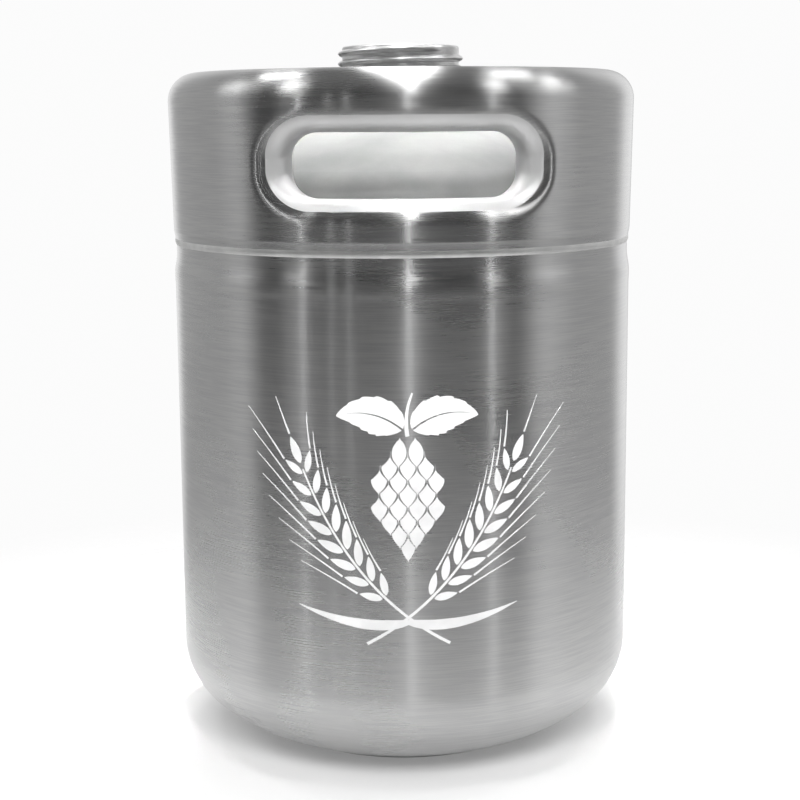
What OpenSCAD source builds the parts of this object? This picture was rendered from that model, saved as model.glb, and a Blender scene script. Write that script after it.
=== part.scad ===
// Mini keg growler: a double-walled, vacuum-insulated stainless-steel beer vessel with a threaded
// neck and a welded handle collar. Millimetres, +Z up, origin on the axis at the bottom of the foot.
// The front hand slot faces -Y.

/* [Body shell] */
// Outside diameter of the straight body
body_d = 165; // [155:1:180]
// Height of the shell's top edge, where the seam weld starts
shell_h = 180.7; // [165:0.1:210]
// Sheet thickness of the shell
shell_t = 0.8; // [0.6:0.1:1.2]
// Radius of the upper part of the base corner
base_corner_r = 26; // [20:1:30]
// Radius of the flatter sweep under the base corner
base_sweep_r = 58; // [50:1:66]
// Angle turned by the upper part of the base corner
base_corner_turn = 48.5; // [44:0.5:54]
// How far the shell is swaged in below the seam
swage_depth = 0.75; // [0.4:0.05:1.2]
// Height of the swage's S-shaped transition
swage_rise = 8.5; // [6:0.5:12]
// Height of the straight land above the swage
swage_land = 2.5; // [1.5:0.1:5]
// How far the ridge under the swage stands proud of the body
ridge_proud = 0.14; // [0.06:0.02:0.3]
// Height over which the ridge falls back to the body
ridge_fall = 4; // [3:0.5:8]

/* [Base] */
// Outside diameter of the flat ring that the keg stands on
foot_d = 94; // [84:1:100]
// Width of that flat ring
foot_w = 2.4; // [1.8:0.2:4]
// Corner radius on both sides of the flat ring
foot_corner_r = 1.5; // [1.4:0.1:2]
// Height of the recessed base above the ground
recess_h = 5.5; // [4.5:0.5:7]
// Diameter of the raised dimple round the vacuum port
dimple_d = 18; // [16:1:24]
// Height of the dimple above the recessed base
dimple_h = 2; // [1.8:0.1:2.4]
// Diameter of the vacuum port
port_d = 4; // [3:0.5:6]
// Diameter of the solder pool that seals the port
solder_d = 9; // [7:0.5:10]
// Thickness of the solder pool under the port
solder_t = 1.1; // [0.8:0.1:1.6]
// Thickness of the cover disc in the recess
disc_t = 0.6; // [0.4:0.1:1]
// Clearance round the cover disc
disc_clearance = 0.25; // [0.1:0.05:0.5]

/* [Seam weld] */
// Height of the weld bead between shell and collar
bead_h = 2.3; // [1.6:0.1:3.2]
// How far the bead's face is crowned
bead_crown = 0.25; // [0.1:0.05:0.5]

/* [Handle collar] */
// Height of the collar above the seam weld
collar_h = 58.1; // [54:0.1:66]
// How far the collar's lower end stands out past the body, on each side
collar_step = 0.1; // [-0.2:0.05:0.6]
// How much the collar's radius grows on its way up to the rounded rim
collar_flare = 0.9; // [0.5:0.05:2]
// Sheet thickness of the collar
collar_t = 0.8; // [0.6:0.1:1.1]
// How far the collar's lower edge is tucked in to meet the weld
tuck = 0.5; // [0.3:0.05:0.7]
// Height of the tucked edge
tuck_h = 3; // [2.5:0.5:6]
// Outside radius of the rounded rim
rim_r = 10; // [8:0.5:13]
// Width of the flat between the rim's two bends
rim_flat = 2.5; // [1:0.5:5]
// Radius of the curl that ends the rim
curl_r = 3; // [2:0.5:4]

/* [Hand slots] */
// Width of the clear opening between the lip edges
slot_w = 73.6; // [60:0.2:80]
// Height of the clear opening
slot_h = 21.2; // [19:0.2:24]
// Corner radius of the clear opening
slot_corner_r = 8.6; // [6:0.2:9.4]
// Height of the slot's centre above the seam weld
slot_up = 26.9; // [25:0.1:30]
// Bend radius of the lip drawn straight in round the slot
lip_r = 8.3; // [6:0.1:8.5]
// Straight length at the lip's edge
lip_edge = 1; // [0.5:0.1:1.5]

/* [Outer dome] */
// Sheet thickness of the dome
dome_t = 0.8; // [0.6:0.1:1.1]
// Length of the dome's skirt inside the shell
skirt_h = 10; // [6:1:14]
// Height of the channel floor above the seam weld
channel_up = 7; // [6:0.5:9]
// Bend radius between skirt and channel floor
channel_r = 5; // [4:0.5:6]
// Width of the channel between the dome's skirt and its raised part
channel_w = 9; // [8.5:0.5:13]
// Height of the knuckle's centre above the seam weld
knuckle_up = 11; // [10:0.5:13]
// Bend radius of the knuckle, where the raised part's side turns into the crown
knuckle_r = 16; // [13:0.5:18]
// Angle turned by the knuckle before the round crown starts
knuckle_turn = 58; // [56:0.5:60]

/* [Neck] */
// Height of the neck's mouth above the rim of the collar
neck_rise = 9.1; // [6:0.1:14]
// Diameter of the neck between the threads
neck_d = 42; // [41:0.5:48]
// Wall of the neck ring
neck_t = 1.2; // [1:0.1:1.5]
// Radius of the neck's rounded mouth edge
mouth_edge_r = 0.9; // [0.5:0.1:1]
// Diameter over the thread crests
thread_d = 45; // [44.4:0.1:51]
// Pitch of the right-hand thread
thread_pitch = 3.5; // [3:0.1:4]
// Width of a thread ridge at its foot
thread_w = 2.3; // [1.8:0.1:2.6]
// Turns of thread
thread_turns = 3.25; // [2:0.25:3.5]
// Distance from the mouth down to the end of the thread
thread_drop = 1.2; // [1.2:0.1:3]
// Angle where the thread starts, from +X towards +Y
thread_start = 230; // [0:5:355]
// Length of the dome's spigot round the neck
spigot_h = 3; // [2:0.5:4]
// Height of the weld on top of the spigot
neck_bead_h = 1; // [0.8:0.1:1.5]

/* [Liner] */
// Inside diameter of the mouth
mouth_d = 37; // [34:0.5:37.5]
// Sheet thickness of the liner
liner_t = 0.6; // [0.5:0.1:0.8]
// Vacuum gap between shell and liner, beside the body
side_gap = 4.7; // [4:0.1:6]
// Vacuum gap between dome and liner
dome_gap = 4.2; // [3.5:0.1:5]
// Height of the liner's base above the ground
liner_base_h = 13; // [12.5:0.5:18]
// Base corner radius of the liner
liner_corner_r = 24; // [20:1:28]
// Height of the weld between the liner's two halves
liner_bead_h = 1.2; // [1:0.1:1.6]
// Distance from the top of the shell down to the liner's weld
liner_weld_drop = 4; // [3:0.5:10]
// Thickness of the reflective foil round the liner
foil_t = 0.1; // [0.1:0.05:0.3]
// Bare height left above and below the foil
foil_margin = 8; // [4:1:20]

/* [Getter] */
// Diameter of the getter pill
pill_d = 10; // [8:1:12]
// Thickness of the getter pill
pill_t = 2.4; // [2:0.1:2.8]
// Distance of the getter from the axis
getter_r = 28; // [24:1:32]
// Sheet thickness of the clip that holds the pill
clip_t = 0.5; // [0.4:0.1:0.7]
// Length of each welded foot of the clip
clip_foot = 5; // [4:0.5:7]
// Width of the clip's strip
clip_w = 6; // [4:0.5:8]
// Clearance between the pill and the clip's sides
pill_clearance = 0.1; // [0.05:0.05:0.3]

/* [Hidden] */
$fn = 120;
BEND_STEPS = 8;

// Radii and heights that several pieces share
body_r = body_d / 2;
land_r = body_r - swage_depth;
skirt_r = land_r - shell_t;
seam_top = shell_h + bead_h;
rim_z = seam_top + collar_h;
mouth_z = rim_z + neck_rise;
neck_r = neck_d / 2;
mouth_r = mouth_d / 2;
channel_z = seam_top + channel_up;
crown_r = skirt_r - channel_w;
collar_bottom_r = body_r + collar_step;
collar_top_r = collar_bottom_r + collar_flare;

// Base corner: the upper bend and the sweep below it meet at base_corner_turn and touch the ground
sweep_extra = base_sweep_r - base_corner_r;
corner_z = base_sweep_r - sweep_extra * sin(base_corner_turn);
sweep_x = body_r - base_corner_r - sweep_extra * cos(base_corner_turn);
foot_r = foot_d / 2;
recess_r = foot_r - foot_w - foot_corner_r;
recess_fillet = 1;
foot_blend = 3;
blend_angle = acos((foot_r + foot_blend - sweep_x) / base_sweep_r);
foot_slope = 56;

// Swage: two equal bends, and two more where the ridge falls back to the body
swage_turn = 2 * atan((swage_depth + ridge_proud) / swage_rise);
swage_r = swage_rise / (2 * sin(swage_turn));
swage_z = shell_h - swage_land;
ridge_turn = 2 * atan(ridge_proud / ridge_fall);
ridge_r = ridge_fall / (2 * sin(ridge_turn));
ridge_z = swage_z - swage_rise;
ridge_x = body_r + ridge_proud;

// Vacuum-port dimple, with 45-degree sides
dimple_r = dimple_d / 2;
dimple_bend = shell_t + 0.3;
dimple_fillet = 0.3;
dimple_top = recess_h + dimple_h;
bend_share = 1 - cos(45);
dimple_wall = dimple_h - (dimple_bend + dimple_fillet) * bend_share;
dimple_x = dimple_r - (dimple_bend + dimple_fillet) * sin(45) - dimple_wall;

// Outer dome: the knuckle turns into a round crown, which ends in a spigot round the neck
channel_fillet = 3;
knuckle_x = crown_r - knuckle_r;
knuckle_z = seam_top + knuckle_up;
crown_bend_r = knuckle_r + knuckle_x / cos(knuckle_turn);
crown_bend_z = knuckle_z - (crown_bend_r - knuckle_r) * sin(knuckle_turn);
spigot_fillet = 3;
neck_seat = 0.5;
neck_bead_top = 0.2;
neck_bead_crown = 0.1;
spigot_r = neck_r + dome_t;
spigot_z = crown_end_z(crown_bend_r, spigot_r);
neck_z = spigot_z + neck_seat;
spigot_top = spigot_z + spigot_h;

// Liner, which follows the shell and the dome at the vacuum gap
liner_r = body_r - shell_t - side_gap;
liner_edge_z = shell_h - liner_weld_drop - liner_bead_h;
liner_inset = dome_t + dome_gap;
liner_channel_z = channel_z - liner_inset;
liner_channel_r = 4;
tube_r = mouth_r + liner_t;
tube_top = mouth_z - neck_t;
tube_z = crown_end_z(crown_bend_r - liner_inset, tube_r);

// Hand slot: its lip runs straight in along Y, round an opening that is laid out in the front view
slot_z = seam_top + slot_up;
collar_edge_r = collar_bottom_r - tuck;
tuck_r = 2.5;
tuck_angle = -20;
curl_end = 200;
cone_z0 = seam_top + tuck_h;
cone_z1 = rim_z - rim_r;
lip_sink = 0.05;
lip_t = collar_t - 2 * lip_sink;
lip_root = 0.8;
slot_face_r = collar_r(slot_z);
SLOT_LONG_STEPS = 14;
SLOT_SHORT_STEPS = 1;
SLOT_CORNER_STEPS = 6;
LIP_STEPS = 5;

// Height of the bend where a round crown of radius bend_r turns up into a tube of radius r
function crown_end_z(bend_r, r) =
    crown_bend_z + sqrt(pow(bend_r + spigot_fillet, 2) - pow(r + spigot_fillet, 2));

// Outward normal of the round crown where that bend meets it
function crown_end_turn(bend_r, r) = acos((r + spigot_fillet) / (bend_r + spigot_fillet));

// Knuckle and round crown, moved in by inset, up to the bend at the tube of radius r
function crown_bends(inset, r) =
    let (bend_r = crown_bend_r - inset, last = crown_end_turn(bend_r, r))
    [
        [knuckle_x, knuckle_z, knuckle_r - inset, 0, knuckle_turn],
        [0, crown_bend_z, bend_r, knuckle_turn, last],
        [r + spigot_fillet, crown_end_z(bend_r, r), -spigot_fillet, last, 0]
    ];

// Outside radius of the collar's conical wall at height z
function collar_r(z) = collar_bottom_r + collar_flare * (z - cone_z0) / (cone_z1 - cone_z0);

// Points of one bend [x, z, radius, first normal, last normal], moved in by inset.
// A negative radius bends the other way, and a zero radius is a plain point.
function bend_points(b, inset) =
    let (steps = b[3] == b[4] ? 0 : BEND_STEPS)
    [for (i = [0 : steps])
        let (n = steps == 0 ? b[3] : b[3] + (b[4] - b[3]) * i / steps)
        [b[0] + (b[2] - inset) * cos(n), b[1] + (b[2] - inset) * sin(n)]];

// Points along a chain of bends
function chain_points(bends, inset) = [for (b = bends) each bend_points(b, inset)];

// The same list, back to front
function backward(list) = [for (i = [len(list) - 1 : -1 : 0]) list[i]];

// A sheet-metal part of revolution that follows a chain of bends
module spun_sheet(bends, t) {
    rotate_extrude()
        polygon(concat(chain_points(bends, 0), backward(chain_points(bends, t))));
}

// A plain ring between two radii
module ring(r_in, r_out, z, h) {
    translate([0, 0, z])
        difference() {
            cylinder(r = r_out, h = h);
            translate([0, 0, -1])
                cylinder(r = r_in, h = h + 2);
        }
}

// A weld bead: a ring with a crowned outer face, from radius r_in out to r_low and r_high
module weld_bead(r_in, r_low, r_high, z, h, proud) {
    face = [for (i = [0 : BEND_STEPS])
        let (u = i / BEND_STEPS)
        [r_low + (r_high - r_low) * u + proud * sin(180 * u), z + h * u]];
    rotate_extrude()
        polygon(concat([[r_in, z]], face, [[r_in, z + h]]));
}

// Drawn shell: swaged top, straight body, rounded base, foot ring and recessed base
module outer_shell() {
    bends = [
        [land_r, shell_h, 0, 0, 0],
        [land_r + swage_r, swage_z, -swage_r, 0, swage_turn],
        [ridge_x - swage_r, ridge_z, swage_r, swage_turn, 0],
        [ridge_x - ridge_r, ridge_z, ridge_r, 0, -ridge_turn],
        [body_r + ridge_r, ridge_z - ridge_fall, -ridge_r, -ridge_turn, 0],
        [body_r - base_corner_r, corner_z, base_corner_r, 0, -base_corner_turn],
        [sweep_x, base_sweep_r, base_sweep_r, -base_corner_turn, -blend_angle],
        [foot_r, foot_corner_r, foot_corner_r, -foot_slope, -90],
        [foot_r - foot_w, foot_corner_r, foot_corner_r, -90, -180],
        [recess_r - recess_fillet, recess_h - recess_fillet, -recess_fillet, -180, -90],
        [dimple_r, recess_h + dimple_bend, dimple_bend, -90, -135],
        [dimple_x, dimple_top - dimple_fillet, -dimple_fillet, -135, -90],
        [port_d / 2, dimple_top, 0, -90, -90]
    ];
    color("#a9a9ab")
        spun_sheet(bends, shell_t);
}

// Cover disc pressed into the recessed base, over the vacuum port
module base_disc() {
    color("#9c9c9f")
        translate([0, 0, recess_h - disc_t])
            cylinder(r = recess_r - recess_fillet - disc_clearance, h = disc_t);
}

// Solder that closes the vacuum port: a pool in the dimple and a stem through the hole
module solder_plug() {
    color("#77787a") {
        translate([0, 0, dimple_top - solder_t])
            cylinder(r = solder_d / 2, h = solder_t);
        translate([0, 0, dimple_top - 0.1])
            cylinder(r = port_d / 2, h = shell_t + 0.1);
    }
}

// Weld bead that joins shell, dome skirt and collar
module seam_weld() {
    color("#c9c9c8")
        weld_bead(skirt_r, land_r, collar_edge_r, shell_h, bead_h, bead_crown);
}

// Points round the clear opening of a hand slot in the front view: [x, height, normal x, normal up]
function slot_path() =
    let (
        a = slot_w / 2 - slot_corner_r,
        b = slot_h / 2 - slot_corner_r,
        corners = [[a, b, 0], [-a, b, 90], [-a, -b, 180], [a, -b, 270]],
        runs = [SLOT_LONG_STEPS, SLOT_SHORT_STEPS, SLOT_LONG_STEPS, SLOT_SHORT_STEPS]
    )
    [for (k = [0 : 3])
        let (c = corners[k], d = corners[(k + 1) % 4], out = c[2] + 90)
        each concat(
            [for (i = [0 : SLOT_CORNER_STEPS])
                let (n = c[2] + 90 * i / SLOT_CORNER_STEPS)
                [c[0] + slot_corner_r * cos(n), c[1] + slot_corner_r * sin(n), cos(n), sin(n)]],
            runs[k] < 2 ? [] : [for (i = [1 : runs[k] - 1])
                let (u = i / runs[k])
                [c[0] + (d[0] - c[0]) * u + slot_corner_r * cos(out),
                 c[1] + (d[1] - c[1]) * u + slot_corner_r * sin(out), cos(out), sin(out)]])];

// Distance from the axis at which the lip's bend is centred, at height z
function lip_axis_r(z) = collar_r(z) - lip_sink - lip_r;

// A point of the wall beside path point p: off from the opening in the front view, in by depth
function wall_point(p, off, depth) =
    let (
        z = slot_z + p[1] + p[3] * off,
        turn = asin((p[0] + p[2] * off) / lip_axis_r(z)),
        r = collar_r(z) - depth
    )
    [r * sin(turn), -r * cos(turn), z];

// Section of the lip at path point p, from the wall round the bend to its edge and back. The bend
// touches the wall on one side and the straight edge on the other, as a ball rolled round would.
function lip_section(p) =
    let (
        z = slot_z + p[1] + p[3] * lip_r,
        r = lip_axis_r(z),
        turn = asin((p[0] + p[2] * lip_r) / r),
        centre = [r * sin(turn), -r * cos(turn), z],
        wall = [sin(turn), -cos(turn), 0],
        edge = [-p[2], 0, -p[3]],
        full = acos(wall * edge),
        out = [for (i = [0 : LIP_STEPS])
            let (a = full * i / LIP_STEPS)
            (wall * sin(full - a) + edge * sin(a)) / sin(full)],
        in_y = [0, lip_edge, 0],
        back_r = lip_r - lip_t
    )
    concat(
        [wall_point(p, lip_r + lip_root, lip_sink)],
        [for (d = out) centre + lip_r * d],
        [centre + lip_r * edge + in_y, centre + back_r * edge + in_y],
        [for (i = [LIP_STEPS : -1 : 0]) centre + back_r * out[i]],
        [wall_point(p, lip_r + lip_root, lip_sink + lip_t)]);

// Lip drawn inward round one hand slot: its section carried round the slot's path
module slot_lip() {
    rings = [for (p = slot_path()) lip_section(p)];
    m = len(rings[0]);
    n = len(rings);
    faces = [for (i = [0 : n - 1]) for (j = [0 : m - 1])
        let (
            a = i * m + j,
            b = i * m + (j + 1) % m,
            c = ((i + 1) % n) * m + (j + 1) % m,
            d = ((i + 1) % n) * m + j
        )
        each [[a, b, c], [a, c, d]]];
    polyhedron(points = [for (ring = rings) each ring], faces = faces);
}

// Solid block that cuts the collar's wall away inside the lip's outer bend
module slot_window() {
    path = slot_path();
    n = len(path);
    off = lip_r - lip_root;
    inside = 3;
    outside = 12;
    points = concat([for (p = path) wall_point(p, off, inside)],
                    [for (p = path) wall_point(p, off, -outside)],
                    [[0, -(slot_face_r - inside), slot_z], [0, -(slot_face_r + outside), slot_z]]);
    faces = [for (i = [0 : n - 1])
        let (k = (i + 1) % n)
        each [[i, n + k, k], [i, n + i, n + k], [2 * n, i, k], [2 * n + 1, n + k, n + i]]];
    polyhedron(points = points, faces = faces);
}

// Handle collar: conical wall, rounded and curled rim, and two lipped hand slots
module handle_collar() {
    rim_x = collar_top_r - rim_r;
    curl_x = rim_x - rim_flat;
    bends = [
        [collar_edge_r, seam_top, 0, tuck_angle, tuck_angle],
        [collar_bottom_r - tuck_r, cone_z0, tuck_r, tuck_angle, 0],
        [rim_x, rim_z - rim_r, rim_r, 0, 90],
        [curl_x, rim_z - curl_r, curl_r, 90, curl_end]
    ];
    color("#adadaf")
        union() {
            difference() {
                spun_sheet(bends, collar_t);
                slot_window();
                rotate([0, 0, 180])
                    slot_window();
            }
            slot_lip();
            rotate([0, 0, 180])
                slot_lip();
        }
}

// Outer dome: skirt inside the seam, channel floor, raised crown and spigot round the neck
module outer_dome() {
    bends = [
        [skirt_r, shell_h - skirt_h, 0, 0, 0],
        [skirt_r - channel_r, channel_z - channel_r, channel_r, 0, 90],
        [crown_r + channel_fillet, channel_z + channel_fillet, -channel_fillet, 90, 0],
        each crown_bends(0, spigot_r),
        [spigot_r, spigot_top, 0, 0, 0]
    ];
    color("#c4c4c5")
        spun_sheet(bends, dome_t);
}

// One ridge of thread, carried up the neck, that fades at both ends
module thread_ridge() {
    steps_per_turn = 36;
    n = round(thread_turns * steps_per_turn);
    top = mouth_z - thread_drop;
    fade_steps = 14;
    sink = 0.3;
    height = thread_d / 2 - neck_r;
    section = [[-0.5, 0], [-0.34, 0.65], [-0.16, 1], [0.16, 1], [0.34, 0.65], [0.5, 0]];
    m = len(section);
    points = [for (i = [0 : n])
        let (
            turn = thread_start + i * 360 / steps_per_turn,
            z = top - thread_turns * thread_pitch + i * thread_pitch / steps_per_turn,
            full = min(1, (i + 0.6) / fade_steps, (n - i + 0.6) / fade_steps)
        )
        for (s = section)
            let (r = s[1] == 0 ? neck_r - sink : neck_r + height * s[1] * full)
            [r * cos(turn), r * sin(turn), z + s[0] * thread_w]];
    sides = [for (i = [0 : n - 1]) for (j = [0 : m - 1])
        let (a = i * m + j, b = i * m + (j + 1) % m)
        each [[a, b, b + m], [a, b + m, a + m]]];
    ends = concat(
        [for (j = [1 : m - 2]) [0, j + 1, j]],
        [for (j = [1 : m - 2]) [n * m, n * m + j, n * m + j + 1]]);
    polyhedron(points = points, faces = concat(sides, ends));
}

// Threaded neck ring with a rounded mouth
module neck_ring() {
    wall = [
        [neck_r, neck_z],
        each bend_points([neck_r - mouth_edge_r, mouth_z - mouth_edge_r, mouth_edge_r, 0, 90], 0),
        [neck_r - neck_t, mouth_z],
        [neck_r - neck_t, neck_z]
    ];
    color("#cfcfd0")
        union() {
            rotate_extrude()
                polygon(wall);
            thread_ridge();
        }
}

// Fillet weld on top of the dome's spigot, round the neck
module neck_weld() {
    color("#c9c9c8")
        weld_bead(neck_r, spigot_r, neck_r + neck_bead_top, spigot_top, neck_bead_h, neck_bead_crown);
}

// Weld that closes the vacuum space between the neck ring and the liner's tube
module mouth_weld() {
    color("#d2d2d2")
        ring(mouth_r, neck_r - neck_t, tube_top, neck_t);
}

// Upper half of the liner, with the tube that forms the mouth
module liner_dome() {
    bends = [
        [liner_r, liner_edge_z + liner_bead_h, 0, 0, 0],
        [liner_r - liner_channel_r, liner_channel_z - liner_channel_r, liner_channel_r, 0, 90],
        [crown_r - liner_inset + channel_fillet, liner_channel_z + channel_fillet,
         -channel_fillet, 90, 0],
        each crown_bends(liner_inset, tube_r),
        [tube_r, tube_top, 0, 0, 0]
    ];
    color("#d6d6d6")
        spun_sheet(bends, liner_t);
}

// Weld between the liner's two halves
module liner_weld() {
    color("#c0c0c0")
        weld_bead(liner_r - liner_t, liner_r, liner_r, liner_edge_z, liner_bead_h, bead_crown);
}

// Lower half of the liner
module liner_can() {
    bends = [
        [liner_r, liner_edge_z, 0, 0, 0],
        [liner_r - liner_corner_r, liner_base_h + liner_corner_r, liner_corner_r, 0, -90],
        [0, liner_base_h, 0, -90, -90]
    ];
    color("#d6d6d6")
        spun_sheet(bends, liner_t);
}

// Copper foil wrapped round the liner's straight side
module liner_foil() {
    foil_z = liner_base_h + liner_corner_r + foil_margin;
    color("#b87333")
        ring(liner_r, liner_r + foil_t, foil_z, liner_edge_z - foil_margin - foil_z);
}

// Spring clip, spot-welded under the liner, that cages the getter pill
module getter_clip() {
    reach = pill_d / 2 + clip_t + pill_clearance;
    drop = pill_t + clip_t;
    color("#8f9092")
        translate([getter_r, 0, liner_base_h])
            union() {
                translate([-reach, -clip_w / 2, -drop])
                    cube([2 * reach, clip_w, clip_t]);
                for (side = [0, 1])
                    mirror([side, 0, 0]) {
                        translate([reach - clip_t, -clip_w / 2, -drop])
                            cube([clip_t, clip_w, drop]);
                        translate([reach - clip_t, -clip_w / 2, -clip_t])
                            cube([clip_foot + clip_t, clip_w, clip_t]);
                    }
            }
}

// Getter pill that keeps the vacuum
module getter_pill() {
    color("#4c4c50")
        translate([getter_r, 0, liner_base_h - pill_t])
            cylinder(r = pill_d / 2, h = pill_t);
}

outer_shell();
base_disc();
solder_plug();
seam_weld();
handle_collar();
outer_dome();
neck_ring();
neck_weld();
mouth_weld();
liner_dome();
liner_weld();
liner_can();
liner_foil();
getter_clip();
getter_pill();
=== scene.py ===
"""Looks of a mini keg growler in brushed stainless steel, built round its solid model.

Lengths in the dataclasses are millimetres and become metres where a mesh is made; lamps, floor and
material depths are in metres. Heights start at the ground. Angles round the keg start at the
front, -Y, and grow towards +X.
"""

import logging
import math
from collections.abc import Callable, Sequence
from dataclasses import dataclass, field
from enum import Enum

import bmesh
import bpy
from mathutils import Matrix, Vector


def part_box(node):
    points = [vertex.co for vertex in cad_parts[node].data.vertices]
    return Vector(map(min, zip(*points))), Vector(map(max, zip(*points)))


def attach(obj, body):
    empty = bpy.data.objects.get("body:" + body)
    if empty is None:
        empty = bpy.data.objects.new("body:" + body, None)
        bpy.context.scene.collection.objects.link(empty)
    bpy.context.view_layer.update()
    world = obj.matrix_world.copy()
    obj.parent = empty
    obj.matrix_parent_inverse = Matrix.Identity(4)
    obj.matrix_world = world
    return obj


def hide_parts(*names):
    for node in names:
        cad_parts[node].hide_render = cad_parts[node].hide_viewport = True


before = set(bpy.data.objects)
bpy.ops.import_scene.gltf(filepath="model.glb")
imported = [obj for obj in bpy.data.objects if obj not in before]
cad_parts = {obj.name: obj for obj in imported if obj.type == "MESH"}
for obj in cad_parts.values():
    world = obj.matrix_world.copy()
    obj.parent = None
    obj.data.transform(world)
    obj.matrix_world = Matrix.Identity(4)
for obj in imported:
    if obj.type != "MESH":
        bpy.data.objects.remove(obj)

log = logging.getLogger("mini_keg")

MM = 0.001
TINY = 1e-6
QUARTER_TURN = 0.25
BODY = "root"

Point2 = tuple[float, float]
Point3 = tuple[float, float, float]
Colour = tuple[float, float, float]
Wobble = Callable[[float, float, float], Point2]
Socket = bpy.types.NodeSocket
Material = bpy.types.Material


def top_of(node: str) -> float:
    """Highest point of a solid piece, in millimetres."""
    return round(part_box(node)[1].z / MM, 3)


SHELL_TOP = top_of("outer_shell")
SEAM_TOP = top_of("seam_weld")
RIM = top_of("handle_collar")
MOUTH = top_of("neck_ring")
SPIGOT_TOP = top_of("outer_dome")
LINER_EDGE = top_of("liner_can")


def shares(steps: int) -> list[float]:
    """Even shares of a whole, from 0 to 1."""
    return [i / steps for i in range(steps + 1)]


# Meshes


class Smooth(Enum):
    """How a mesh is shaded where its faces meet."""

    ROUND = math.radians(50.0)
    CREASED = math.radians(28.0)


@dataclass(frozen=True)
class Bend:
    """One bend of a sheet, seen in section: a centre, a radius and the normals where it runs."""

    x: float
    z: float
    radius: float = 0.0
    start: float = 0.0
    end: float = 0.0

    def points(self, inset: float, steps: int) -> list[Point2]:
        """Points along the bend.

        Args:
            inset: Distance from the outer face, towards the inner face.
            steps: Number of steps along a bend that turns.

        Returns:
            Radius and height of each point.
        """
        reach = self.radius - inset
        out = []
        for share in shares(steps) if self.start != self.end else (0.0,):
            normal = math.radians(self.start + (self.end - self.start) * share)
            out.append((self.x + reach * math.cos(normal), self.z + reach * math.sin(normal)))
        return out


@dataclass(frozen=True)
class Sheet:
    """A sheet-metal section: a chain of bends and a thickness."""

    bends: tuple[Bend, ...]
    thickness: float
    steps: int = 14

    def face(self, inset: float) -> list[Point2]:
        """Points along the whole chain at one depth in the sheet."""
        return [p for bend in self.bends for p in bend.points(inset, self.steps)]

    def loop(self) -> list[Point2]:
        """Closed section: the outer face, then the inner face back to the start."""
        return self.face(0.0) + self.face(self.thickness)[::-1]


def add_object(name: str, data: bpy.types.ID) -> bpy.types.Object:
    """Makes an object and links it to the scene.

    Args:
        name: Name of the object.
        data: Its mesh, lamp or camera.

    Returns:
        The new object.
    """
    obj = bpy.data.objects.new(name, data)
    bpy.context.scene.collection.objects.link(obj)
    return obj


@dataclass
class MeshMaker:
    """Collects points and faces in millimetres and makes one object of them."""

    points: list[Point3] = field(default_factory=list)
    faces: list[tuple[int, ...]] = field(default_factory=list)
    finishes: list[int] = field(default_factory=list)
    finish: int = 0

    def add(self, point: Point3) -> int:
        """Adds a point and returns its index."""
        self.points.append(point)
        return len(self.points) - 1

    def face(self, *corners: int) -> None:
        """Adds a face in the finish of the moment, unless it has no area.

        Args:
            corners: Indices of its points, in order.
        """
        kept = tuple(dict.fromkeys(corners))
        if len(kept) > 2:
            self.faces.append(kept)
            self.finishes.append(self.finish)

    def strip(self, left: Sequence[int], right: Sequence[int], closed: bool = False) -> None:
        """Joins two rows of points with four-sided faces.

        Args:
            left: Indices along one row.
            right: Indices along the other row.
            closed: Whether the rows' ends meet.
        """
        count = len(left)
        for i in range(count if closed else count - 1):
            k = (i + 1) % count
            self.face(left[i], left[k], right[k], right[i])

    def build(self, name: str, smooth: Smooth) -> bpy.types.Object:
        """Makes the object, with its normals facing out.

        Args:
            name: Name of the object.
            smooth: How it is shaded.

        Returns:
            The new object, linked to the scene.
        """
        mesh = bpy.data.meshes.new(name)
        mesh.from_pydata([Vector(p) * MM for p in self.points], [], self.faces)
        mesh.polygons.foreach_set("material_index", self.finishes)
        mesh.validate()
        work = bmesh.new()
        work.from_mesh(mesh)
        bmesh.ops.recalc_face_normals(work, faces=work.faces)
        work.to_mesh(mesh)
        work.free()
        mesh.shade_smooth()
        mesh.set_sharp_from_angle(angle=smooth.value)
        return add_object(name, mesh)


def around(radius: float, angle: float, height: float) -> Point3:
    """Point at a radius, an angle from the front in radians, and a height."""
    return (radius * math.sin(angle), -radius * math.cos(angle), height)


def lathe(
    name: str,
    loop: Sequence[Point2],
    columns: int,
    smooth: Smooth = Smooth.CREASED,
    wobble: Wobble | None = None,
) -> bpy.types.Object:
    """Turns a closed section round the axis.

    Args:
        name: Name of the object.
        loop: Radius and height of each point of the section, in order.
        columns: Number of columns round the axis.
        smooth: How it is shaded.
        wobble: Gives a changed radius and height for a radius, an angle and a height.

    Returns:
        The new object.
    """
    maker = MeshMaker()
    rows: list[list[int]] = []
    for radius, height in loop:
        if radius < TINY:
            rows.append([maker.add((0.0, 0.0, height))] * columns)
            continue
        row = []
        for i in range(columns):
            angle = 2 * math.pi * i / columns
            r, z = wobble(radius, angle, height) if wobble else (radius, height)
            row.append(maker.add(around(r, angle, z)))
        rows.append(row)
    for i, row in enumerate(rows):
        maker.strip(row, rows[(i + 1) % len(rows)], closed=True)
    return maker.build(name, smooth)


def dress(
    obj: bpy.types.Object,
    materials: Material | Sequence[Material],
    slot: str,
    *nodes: str,
) -> None:
    """Gives a piece its finish and its place in the frame.

    Args:
        obj: The piece.
        materials: Its material, or one for each of its finishes.
        slot: Name of the record's material slot; not used.
        nodes: The solid pieces that it stands for.
    """
    for material in materials if isinstance(materials, Sequence) else (materials,):
        obj.data.materials.append(material)
    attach(obj, BODY)
    if nodes:
        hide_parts(*nodes)
    log.info("%s: %d faces", obj.name, len(obj.data.polygons))


# Shader helpers


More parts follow.
